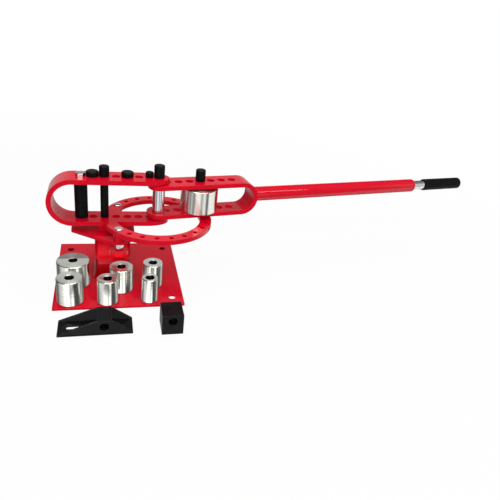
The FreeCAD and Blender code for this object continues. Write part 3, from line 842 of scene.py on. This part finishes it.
class BENDER_OT_ring(Operator):
    """Angle ring with its row of holes, and the thrust washer under the arm"""
    bl_idname = "bender.ring"
    bl_label = "Angle ring"

    def execute(self, context):
        lo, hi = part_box("angle_ring")
        outer = hi.x - PIVOT.x
        bm = bmesh.new()
        spin_outline(bm, band(sizes().ring_bore, outer, lo.z, hi.z), steps=180)
        tool = bmesh.new()
        half = BAR_WIDTH / 2 + RING_GAP
        add_box(tool, (-outer * 1.2, -half, lo.z - BAR_THICK), (0, half, hi.z + BAR_THICK))
        bm = combined(bm, tool)
        circle = sizes().ring_circle
        angles = [step * sizes().ring_step for step in RING_HOLES]
        holes = [(circle * math.cos(a), circle * math.sin(a), sizes().ring_hole) for a in angles]
        bm = drilled(bm, holes, lo.z, hi.z, PLATE_DRILL, 36)
        soften(bm, sizes().bar_edge * 0.8)
        to_frame(bm)
        dress("drilled_ring", bm, "angle_ring", enamel())
        lo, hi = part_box("pivot_washer")
        bm = bmesh.new()
        spin_outline(bm, band(sizes().pin_hole, size("pivot_washer").x / 2, lo.z, hi.z))
        soften(bm, 0.5 * MM)
        to_frame(bm)
        dress("thrust_washer", bm, "pivot_washer", enamel())
        return {"FINISHED"}


# ---- fasteners ------------------------------------------------------------------------------
BOLT_RADIUS = 5 * MM
THREAD_PITCH = 1.5 * MM
THREAD_DEPTH = 0.8 * MM
THREAD_TIP = 1 * MM
THREAD_IN_NUT = 2 * MM           # how far a thread runs into its nut
BUTTON_RADIUS = 8.5 * MM
BUTTON_HEIGHT = 3 * MM
BUTTON_SIDE = 0.7 * MM           # straight side under a button's dome
RING_SPACER_RADIUS = 10 * MM


def hexagon(bm, flats, centre, bottom, top, crown_both=False):
    """Hexagonal prism with its corners turned off, as on a bolt head or a nut."""
    reach = flats / math.sqrt(3)
    crown = flats / 2 * 0.97
    prism = bmesh.new()
    outline = [(centre.x + reach * math.cos(a), centre.y + reach * math.sin(a))
               for a in (math.radians(60 * i) for i in range(6))]
    add_prism(prism, outline, bottom, top - bottom)
    cap = bmesh.new()
    fall = (reach - flats / 2) * 0.8
    profile = [(0, bottom), (crown if crown_both else reach * 1.1, bottom)]
    if crown_both:
        profile.append((reach * 1.02, bottom + fall))
    profile += [(reach * 1.02, top - fall), (crown, top), (0, top)]
    spin_outline(cap, profile, centre=(centre.x, centre.y, 0), steps=48, closed=False)
    shaped = combined(prism, cap, "INTERSECT")
    soften(shaped, 0.25 * MM, 2)
    mesh = bpy.data.meshes.new("hexagon")
    shaped.to_mesh(mesh)
    shaped.free()
    bm.from_mesh(mesh)
    bpy.data.meshes.remove(mesh)


def thread(bm, centre, bottom, top):
    """A threaded stub: V grooves one pitch apart, with a chamfered tip at its foot."""
    profile = [(0, bottom), (BOLT_RADIUS - THREAD_TIP, bottom)]
    level = bottom + THREAD_TIP
    while level + THREAD_PITCH < top:
        profile += [(BOLT_RADIUS, level), (BOLT_RADIUS - THREAD_DEPTH, level + THREAD_PITCH / 2)]
        level += THREAD_PITCH
    profile += [(BOLT_RADIUS, level), (BOLT_RADIUS, top), (0, top)]
    spin_outline(bm, profile, centre=(centre.x, centre.y, 0), steps=40, closed=False)


def button(bm, centre, bottom):
    """Low domed bolt head."""
    top = bottom + BUTTON_HEIGHT
    edge = 0.3 * MM
    outline = [(0, bottom), (BUTTON_RADIUS - edge, bottom), (BUTTON_RADIUS, bottom + edge)]
    outline += quarter(BUTTON_RADIUS, top, BUTTON_RADIUS, BUTTON_HEIGHT - BUTTON_SIDE, 10)[:-1]
    outline.append((0, top))
    spin_outline(bm, outline, centre=(centre.x, centre.y, 0), steps=48, closed=False)


def sleeve(outer, bottom, top, edge):
    """Outline of an upright sleeve round a bolt, with softened rims."""
    return [(BOLT_RADIUS, bottom), (outer - edge, bottom), (outer, bottom + edge),
            (outer, top - edge), (outer - edge, top), (BOLT_RADIUS, top)]


class BENDER_OT_fasteners(Operator):
    """Bolts, nuts, the frame's spacer and the ring's spacers"""
    bl_idname = "bender.fasteners"
    bl_label = "Bolts and spacers"

    def execute(self, context):
        flats = size("spacer_bolt").y
        bolts, nuts, spacers = bmesh.new(), bmesh.new(), bmesh.new()
        rims = sleeve(RING_SPACER_RADIUS, low("ring_spacers").z, high("ring_spacers").z, 0.6 * MM)
        for y in (low("ring_spacers").y + RING_SPACER_RADIUS,
                  high("ring_spacers").y - RING_SPACER_RADIUS):
            spot = Vector((middle("ring_bolts").x, y, 0))
            button(bolts, spot, high("angle_ring").z)
            thread(bolts, spot, low("ring_bolts").z, low("ring_nuts").z + THREAD_IN_NUT)
            hexagon(nuts, flats, spot, low("ring_nuts").z, high("ring_nuts").z, True)
            spin_outline(spacers, rims, centre=spot, steps=64)
        dress("ring_bolt_pair", bolts, "ring_bolts", zinc())
        dress("ring_nut_pair", nuts, "ring_nuts", zinc())
        dress("ring_spacer_pair", spacers, "ring_spacers", enamel())
        spot = middle("spacer_bolt")
        bm = bmesh.new()
        hexagon(bm, flats, spot, high("frame_bar").z, high("spacer_bolt").z)
        thread(bm, spot, low("spacer_bolt").z, low("spacer_nut").z + THREAD_IN_NUT)
        dress("frame_bolt", bm, "spacer_bolt", zinc())
        black = black_oxide("black sleeve", 0.25, 0.06)
        bm = bmesh.new()
        hexagon(bm, flats, spot, low("spacer_nut").z, high("spacer_nut").z, True)
        dress("frame_nut", bm, "spacer_nut", black)
        lo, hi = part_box("frame_spacer")
        tube = sleeve((hi.x - lo.x) / 2, lo.z, hi.z, 0.8 * MM)
        turned("black_sleeve", "frame_spacer", tube, black)
        return {"FINISHED"}


# ---- handle ---------------------------------------------------------------------------------
TUBE_WALL = 2 * MM
TUBE_IN_ARM = 9 * MM             # how far the tube reaches into the arm's bend
COLLAR_ROUND = 4 * MM
SLIDER_START = 372 * MM          # inner end of the sliding tube, from the centre pin
SLIDER_WALL = 1.6 * MM
SLIDER_IN_GRIP = 4 * MM          # thickness of the grip's closed end
BUSH_LENGTH = 25 * MM
GRIP_ROUND = 5 * MM
SNUG = 0.1 * MM
BEAD_RADIUS = 2.6 * MM


def along_handle(name, node, outline, material, edge=0.0):
    """Turn (radius, distance from the centre pin) points about the handle's axis."""
    bm = bmesh.new()
    spin_outline(bm, outline, centre=(0, 0, PIVOT.z), turn=ALONG_X, steps=64)
    if edge:
        soften(bm, edge)
    to_arm(bm)
    dress(name, bm, node, material)


def reach(node):
    """Nearest and furthest distance of a handle piece from the centre pin, along the arm."""
    spread = size(node).z / 2 * abs(math.sin(ARM_ANGLE))
    ends = (low(node).x + spread, high(node).x - spread)
    return [(x - PIVOT.x) / math.cos(ARM_ANGLE) for x in ends]


class BENDER_OT_handle(Operator):
    """Handle tube, its weld and collar, the sliding tube and the grip"""
    bl_idname = "bender.handle"
    bl_label = "Handle"

    def execute(self, context):
        radius = size("handle_collar").z / 2
        inner = size("extension_tube").z / 2
        start, end = reach("handle_collar")
        along_handle("handle_pipe", "handle_tube",
                     band(radius - TUBE_WALL, radius, ARM_END - TUBE_IN_ARM, start + SNUG),
                     enamel("handle enamel"))
        rim = [(inner + SNUG, start), (radius, start), (inner + SNUG, end)]
        rim[2:2] = quarter(radius, end, COLLAR_ROUND, COLLAR_ROUND, 6)
        along_handle("pipe_collar", "handle_collar", rim, enamel())
        self.weld(radius)
        start, end = reach("grip")
        along_handle("sliding_tube", "extension_tube",
                     band(inner - SLIDER_WALL, inner, SLIDER_START, end - SLIDER_IN_GRIP), zinc())
        along_handle("guide_bush", "extension_bush",
                     band(inner + SNUG / 2, radius - TUBE_WALL - SNUG, SLIDER_START,
                          SLIDER_START + BUSH_LENGTH), zinc(), edge=0.5 * MM)
        hand = size("grip").z / 2
        bottom = end - SLIDER_IN_GRIP + SNUG
        outline = [(inner + SNUG, start), (hand - 1.8 * MM, start),
                   (hand - 0.5 * MM, start + 0.6 * MM), (hand, start + 2 * MM)]
        outline += quarter(hand, end, GRIP_ROUND, GRIP_ROUND, 8)
        outline += [(0, end), (0, bottom), (inner + SNUG, bottom)]
        along_handle("hand_grip", "grip", outline, material_of("grip rubber", paint_rubber))
        return {"FINISHED"}

    def weld(self, radius):
        """Rippled bead round the handle's foot, following the arm's round end."""
        outer = size("arm_bar").z / 2
        points, normals = [], []
        count = round(math.tau * radius / sizes().weld_ripple / 2) * 2
        for index in range(count):
            angle = math.tau * index / count
            way = Vector((0, math.cos(angle), math.sin(angle)))
            spot = way * (radius + 0.9 * MM)
            rise = min(abs(spot.z), outer * 0.99)
            spot.x = ARM_END - outer + math.sqrt(outer ** 2 - rise ** 2) + 1.0 * MM
            points.append(spot + Vector((0, 0, PIVOT.z)))
            normals.append(way)
        bm = bead(points, normals, BEAD_RADIUS)
        to_arm(bm)
        dress("handle_bead", bm, "handle_weld", enamel(), weighted=False)


# ---- pins -----------------------------------------------------------------------------------
PIN_RADIUS = 8 * MM
SCREW_RADIUS = 5 * MM
PIN_POINT = 1.2 * MM             # chamfer of a pin's foot
HEAD_EDGE = 0.5 * MM             # chamfer under a pin's head
PIN_NAMES = {"centre_pin": "pivot_pin", "stop_pin": "tall_stop_pin", "roller_pin": "roller_axle",
             "short_pin_right": "low_pin_right", "short_pin_left": "low_pin_left",
             "stop_screw": "small_pin"}


class BENDER_OT_pins(Operator):
    """Headed pins in the frame and in the arm"""
    bl_idname = "bender.pins"
    bl_label = "Pins"

    def execute(self, context):
        black = black_oxide("black pin", 0.3, 0.07)
        rim = sizes().head_rim
        for node, name in PIN_NAMES.items():
            foot, top = low(node).z, high(node).z
            seat = high("arm_bar" if node == "roller_pin" else "frame_bar").z
            shank = SCREW_RADIUS if node == "stop_screw" else PIN_RADIUS
            head = size(node).x / 2
            outline = [(0, foot), (shank - PIN_POINT, foot), (shank, foot + PIN_POINT),
                       (shank, seat), (head - HEAD_EDGE, seat), (head, seat + HEAD_EDGE)]
            outline += quarter(head, top, rim, rim, 6) + [(0, top)]
            turned(name, node, outline, black, closed=False)
        return {"FINISHED"}


# ---- dies -----------------------------------------------------------------------------------
LOOSE_DIES = ("die_64", "die_49", "die_46", "die_40", "die_39", "die_31")
BOSS_HALF = 12.5 * MM            # half the top of the strap die's boss
STRAP_BORE_FROM_END = 81 * MM
STRAP_BORE_HEIGHT = 17.4 * MM
STRAP_PLATE = 4 * MM
SLOT_FROM_BORE = 52.3 * MM
SLOT_HALF_LENGTH = 14 * MM
SLOT_HALF_WIDTH = 5.25 * MM
SLOT_CORNER = 4.2 * MM
BLOCK_BORE_HEIGHT = 28 * MM
CUTTER = 80 * MM                 # longer than any die is deep


def turned_die(name, node, bore, edge, *steel):
    """A turned die with broken edges, in place of its CAD node."""
    lo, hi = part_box(node)
    radius = (hi.x - lo.x) / 2
    outline = [(bore, lo.z + edge), (bore + edge, lo.z), (radius - edge, lo.z),
               (radius, lo.z + edge), (radius, hi.z - edge), (radius - edge, hi.z),
               (bore + edge, hi.z), (bore, hi.z - edge)]
    turned(name, node, outline, turned_steel(name.replace("_", " "), node, *steel), steps=128,
           edge=0.25 * MM)


class BENDER_OT_dies(Operator):
    """Round dies: the centre die, the roller and those that stand on the base plate"""
    bl_idname = "bender.dies"
    bl_label = "Round dies"

    def execute(self, context):
        tones = colours()
        turned_die("polished_die", "centre_die", sizes().pin_hole, 0.8 * MM,
                   tones.polish, tones.polish_dark, 0.11, 1000.0, 0.01 * MM)
        steel = (tones.steel, tones.steel_dark, 0.22, 1200.0, 0.015 * MM)
        turned_die("big_roller", "roller_die", sizes().pin_hole, 1.0 * MM, *steel)
        bore = sizes().die_bore
        for node in LOOSE_DIES:
            turned_die("loose_" + node, node, bore, 1.1 * MM, *steel, bore)
        return {"FINISHED"}


def bored(bm, x, y, z):
    """Bore a die along Y."""
    tool = bmesh.new()
    add_cylinder(tool, sizes().die_bore, (x, y, z), CUTTER, ALONG_Y)
    return combined(bm, tool)


class BENDER_OT_strap_die(Operator):
    """Strap die with two webs, a bored boss and a slotted wing"""
    bl_idname = "bender.strap_die"
    bl_label = "Strap die"

    def execute(self, context):
        lo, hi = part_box("strap_die")
        bore_x = lo.x + STRAP_BORE_FROM_END
        mid_y = (lo.y + hi.y) / 2
        plate = STRAP_PLATE
        left, right = bore_x - BOSS_HALF, bore_x + BOSS_HALF
        profile = [(lo.x, 0), (lo.x, plate), (left, hi.z), (right, hi.z), (hi.x, plate), (hi.x, 0)]
        bm = bmesh.new()
        add_prism(bm, profile, 0, hi.y - lo.y)
        upright = Matrix.Translation((0, hi.y, 0)) @ ALONG_Y
        bmesh.ops.transform(bm, matrix=upright, verts=bm.verts[:])
        tool = bmesh.new()
        add_box(tool, (lo.x - plate, lo.y + plate, plate), (left, hi.y - plate, hi.z * 2))
        add_box(tool, (right, lo.y + plate, plate), (hi.x + plate, hi.y - plate, hi.z * 2))
        bm = bored(combined(bm, tool), bore_x, mid_y, STRAP_BORE_HEIGHT)
        tool = bmesh.new()
        slot_x = bore_x - SLOT_FROM_BORE
        add_box(tool, (slot_x - SLOT_HALF_LENGTH, mid_y - SLOT_HALF_WIDTH, -plate),
                (slot_x + SLOT_HALF_LENGTH, mid_y + SLOT_HALF_WIDTH, plate * 2))
        round_edges(tool, upright_edges(tool), SLOT_CORNER)
        bm = combined(bm, tool)
        soften(bm, 0.6 * MM)
        dress("slotted_strap_die", bm, "strap_die", black_oxide("black die", 0.3, 0.12))
        return {"FINISHED"}


class BENDER_OT_block_die(Operator):
    """Square block die with a bore"""
    bl_idname = "bender.block_die"
    bl_label = "Block die"

    def execute(self, context):
        centre = middle("block_die")
        bm = bmesh.new()
        add_box(bm, *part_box("block_die"))
        bm = bored(bm, centre.x, centre.y, BLOCK_BORE_HEIGHT)
        soften(bm, 0.9 * MM)
        dress("square_block_die", bm, "block_die", black_oxide("black die", 0.3, 0.12))
        return {"FINISHED"}


# ---- stage ----------------------------------------------------------------------------------
WHITE = (1, 1, 1)
FLOOR_HALF = 30.0
# Lamps: name, place, aim, length and width.
LAMPS = (("key", (-0.5, -1.5, 1.2), (0.1, 0, 0.1), 1.2, 1.2),
         ("strip", (0.9, -1.1, 1.6), (0.9, 0, 0.17), 1.8, 0.4),
         ("front", (0.25, -2.3, 0.45), (0.1, 0, 0.1), 1.4, 1.4),
         ("top", (0.2, 0.1, 1.7), (0.2, 0, 0.1), 1.3, 1.3))
# Screens: greys by the way a reflection looks, in degrees from +X, and by the screen's height.
FAR_GREYS = ((-180, 0.5), (-170, 0.12), (-160, 0.5), (-152, 0.2), (-143, 0.7), (-134, 0.25),
             (-124, 0.25), (-116, 1.0), (-92, 0.9), (-84, 0.35), (-76, 0.35), (-66, 1.0),
             (-57, 0.9), (-52, 0.15), (-40, 0.15), (-34, 1.1), (38, 0.9), (46, 0.15), (60, 0.15),
             (66, 0.56), (120, 0.56), (134, 0.06), (172, 0.06))
NEAR_GREYS = ((-180, 0.7), (-150, 0.9), (-125, 1.7), (-95, 1.7), (-86, 0.9), (-76, 0.9),
              (-68, 1.7), (-57, 1.5), (-49, 0.15), (-36, 0.05), (-12, 0.06), (4, 0.12), (20, 0.7),
              (36, 0.6), (50, 0.12), (66, 0.06), (76, 0.5), (134, 0.2), (160, 0.1), (172, 0.5))
SCREEN_LEVELS = ((0.0, 1.0), (0.35, 0.9), (0.48, 0.6), (0.58, 0.6), (0.66, 0.2), (1.0, 0.12))
SCREEN_TOP = 2.6
SCREEN_HOLE = 0.33               # the far screens start where the near one ends
NEAR_HEIGHT = 0.0052             # the near screen lies just above the base plate
FAR_PROFILE = ((SCREEN_HOLE, 0.001), (1.8, 0.001), (2.6, 0.8), (2.6, 2.0), (0.001, SCREEN_TOP))
NEAR_PROFILE = ((0.001, NEAR_HEIGHT), (SCREEN_HOLE, NEAR_HEIGHT))
BEHIND_DIES = ((-0.13, -0.029, 0.056), (0.14, -0.028, 0.190))
CAMERA_PLACE = (-0.023886, -0.983123, 0.588802)
CAMERA_RIGHT = Vector((0.9634, -0.2411, 0.1170))
CAMERA_DOWN = Vector((-0.0121, -0.4753, -0.8797))
CAMERA_AHEAD = Vector((0.2677, 0.8461, -0.4609))


def bare_tree(owner, kind):
    """The emptied node tree of a material or world, and its output node."""
    owner.use_nodes = True
    owner.node_tree.nodes.clear()
    return owner.node_tree, owner.node_tree.nodes.new("ShaderNodeOutput" + kind)


def either(tree, factor, first, second):
    """A mix of two shaders. Returns its output."""
    return node_of(tree, "ShaderNodeMixShader", {0: factor, 1: first, 2: second}).outputs[0]


def ramp(tree, factor, greys):
    """A colour ramp through (place, grey). Returns its colour."""
    made = node_of(tree, "ShaderNodeValToRGB", {0: factor})
    stops = made.color_ramp.elements
    stops.remove(stops[-1])
    for index, (place, grey) in enumerate(greys):
        stop = stops.new(place) if index else stops[0]
        stop.position = place
        stop.color = (grey, grey, grey, 1)
    return made.outputs[0]


def seen_by(tree, *kinds):
    """1 for camera, glossy or transmission rays, 0 for the others."""
    rays = tree.nodes.new("ShaderNodeLightPath").outputs
    seen = rays[f"Is {kinds[0]} Ray"]
    for kind in kinds[1:]:
        seen = scalar(tree, "MAXIMUM", seen, rays[f"Is {kind} Ray"])
    return seen


class BENDER_OT_stage(Operator):
    """White floor, soft light and the camera"""
    bl_idname = "bender.stage"
    bl_label = "Stage"

    def execute(self, context):
        stage = bpy.context.scene.bender_stage
        bpy.context.scene.view_settings.view_transform = "Standard"
        self.floor(stage)
        self.sky(stage)
        self.surround()
        for lamp in LAMPS:
            self.lamp(stage, *lamp)
        self.camera(stage)
        return {"FINISHED"}

    def lamp(self, stage, name, place, aim, wide, tall):
        """A soft light aimed at a point."""
        data = bpy.data.lights.new(name, "AREA")
        data.shape = "RECTANGLE"
        data.size = wide
        data.size_y = tall
        data.energy = getattr(stage, name + "_strength")
        light = bpy.data.objects.new(name, data)
        light.location = place
        light.rotation_euler = (Vector(aim) - Vector(place)).to_track_quat("-Z", "Y").to_euler()
        bpy.context.scene.collection.objects.link(light)

    def floor(self, stage):
        """White floor that keeps the object's shadow, with painted shade under the rear of the base
        plate.
        """
        bm = bmesh.new()
        bmesh.ops.create_grid(bm, x_segments=1, y_segments=1, size=FLOOR_HALF)
        floor = new_mesh("floor", bm)
        material = bpy.data.materials.new("white floor")
        tree, output = bare_tree(material, "Material")
        place = object_place(tree)
        away = vector_math(tree, "LENGTH", place).outputs["Value"]
        share = ranged(tree, away, 0.5, 1.6, 0.95, 1.0)
        # Painted shade: under the rear of the base plate the floor neither glows nor stays white.
        outside = self.outside_plate(tree, place)
        lit = scalar(tree, "MULTIPLY", seen_by(tree, "Camera", "Glossy", "Transmission"),
                     scalar(tree, "MULTIPLY", share, outside))
        matt = node_of(tree, "ShaderNodeBsdfDiffuse",
                       {"Color": blended(tree, outside, stage.floor_painted_shade, stage.floor_white)})
        glow = node_of(tree, "ShaderNodeEmission", {"Color": WHITE})
        put(tree, output, {0: either(tree, lit, matt.outputs[0], glow.outputs[0])})
        floor.data.materials.append(material)

    def outside_plate(self, tree, place):
        """0 under the rear of the base plate, where the floor seen through its bolt holes gets
        painted shade, and 1 beyond.
        """
        edge = high("base_plate") - Vector((1, 1, 0)) * MM
        x, y, _ = split(tree, place)
        beyond = scalar(tree, "SUBTRACT", scalar(tree, "ABSOLUTE", x), edge.x)
        behind = scalar(tree, "SUBTRACT", y, edge.y)
        front = scalar(tree, "MULTIPLY", y, -1.0)
        furthest = scalar(tree, "MAXIMUM", scalar(tree, "MAXIMUM", beyond, behind), front)
        return scalar(tree, "GREATER_THAN", furthest, 0.0)

    def surround(self):
        """Light and dark screens on and round the bench that only reflections show."""
        far, near, behind = bmesh.new(), bmesh.new(), bmesh.new()
        spin_outline(far, FAR_PROFILE, closed=False)
        spin_outline(near, NEAR_PROFILE, closed=False)
        add_box(behind, *BEHIND_DIES)
        self.screen("far_screens", FAR_GREYS, far)
        self.screen("near_screen", NEAR_GREYS, near, from_above=True)
        self.screen("screen_behind_dies", FAR_GREYS, behind)

    def screen(self, name, greys, bm, from_above=False):
        """A screen whose light depends on the way a reflection looks at it."""
        material = bpy.data.materials.new(name)
        tree, output = bare_tree(material, "Material")
        coming = tree.nodes.new("ShaderNodeNewGeometry").outputs["Incoming"]
        x, y, up = split(tree, coming)
        way = scalar(tree, "ARCTAN2", scalar(tree, "MULTIPLY", y, -1.0),
                     scalar(tree, "MULTIPLY", x, -1.0))
        height = split(tree, object_place(tree))[2]
        shine = node_of(tree, "ShaderNodeEmission", {
            "Color": ramp(tree, ranged(tree, way, -math.pi, math.pi, 0.0, 1.0),
                          [(degrees / 360 + 0.5, grey) for degrees, grey in greys]),
            "Strength": ramp(tree, ranged(tree, height, 0.0, SCREEN_TOP, 0.0, 1.0),
                             SCREEN_LEVELS)}).outputs[0]
        if from_above:
            clear = tree.nodes.new("ShaderNodeBsdfTransparent").outputs[0]
            shine = either(tree, scalar(tree, "GREATER_THAN", up, 0.0), clear, shine)
        put(tree, output, {0: shine})
        made = new_mesh(name, bm)
        made.data.materials.append(material)
        made.visible_camera = False
        made.visible_diffuse = False
        made.visible_shadow = False
        made.visible_transmission = False

    def sky(self, stage):
        """Even light, and plain white where a camera or a mirror sees it."""
        world = bpy.data.worlds.new("studio")
        bpy.context.scene.world = world
        tree, output = bare_tree(world, "World")
        even, white = (node_of(tree, "ShaderNodeBackground", {"Color": WHITE, "Strength": strength})
                       for strength in (stage.sky_strength, 1.0))
        put(tree, output, {0: either(tree, seen_by(tree, "Camera", "Glossy"), even.outputs[0],
                                     white.outputs[0])})

    def camera(self, stage):
        """Camera in front of the bench, a little above it."""
        data = bpy.data.cameras.new("camera")
        data.sensor_width = 36.0
        data.lens = stage.lens
        data.clip_start, data.clip_end = 0.05, 50.0
        camera = bpy.data.objects.new("camera", data)
        turn = Matrix((CAMERA_RIGHT, -CAMERA_DOWN, -CAMERA_AHEAD)).transposed().to_4x4()
        camera.matrix_world = Matrix.Translation(CAMERA_PLACE) @ turn
        bpy.context.scene.collection.objects.link(camera)
        bpy.context.scene.camera = camera


# ---- add-on ---------------------------------------------------------------------------------
PIECES = (BENDER_OT_base_plate, BENDER_OT_post, BENDER_OT_eye, BENDER_OT_head, BENDER_OT_frame,
          BENDER_OT_ring, BENDER_OT_arm, BENDER_OT_fasteners, BENDER_OT_handle, BENDER_OT_pins,
          BENDER_OT_dies, BENDER_OT_strap_die, BENDER_OT_block_die, BENDER_OT_stage)
GROUPS = {"bender_sizes": BenderSizes, "bender_colours": BenderColours, "bender_stage": BenderStage}


class BENDER_PT_panel(Panel):
    """Lists the bender's pieces, sizes and colours"""
    bl_idname = "BENDER_PT_panel"
    bl_label = "Bench bender"
    bl_space_type = "VIEW_3D"
    bl_region_type = "UI"
    bl_category = "Bench bender"

    def draw(self, context):
        for piece in PIECES:
            self.layout.operator(piece.bl_idname)
        for group in GROUPS:
            settings = getattr(context.scene, group)
            column = self.layout.column()
            for name in type(settings).__annotations__:
                column.prop(settings, name)


def register():
    """Register the settings, the operators and the panel."""
    for name, group in GROUPS.items():
        bpy.utils.register_class(group)
        setattr(bpy.types.Scene, name, PointerProperty(type=group))
    for piece in PIECES:
        bpy.utils.register_class(piece)
    bpy.utils.register_class(BENDER_PT_panel)


def unregister():
    """Take away what register added."""
    bpy.utils.unregister_class(BENDER_PT_panel)
    for piece in reversed(PIECES):
        bpy.utils.unregister_class(piece)
    for name, group in reversed(list(GROUPS.items())):
        delattr(bpy.types.Scene, name)
        bpy.utils.unregister_class(group)


def main():
    """Build every piece in order."""
    register()
    for piece in PIECES:
        family, name = piece.bl_idname.split(".")
        getattr(getattr(bpy.ops, family), name)()


if __name__ == "__main__":
    main()
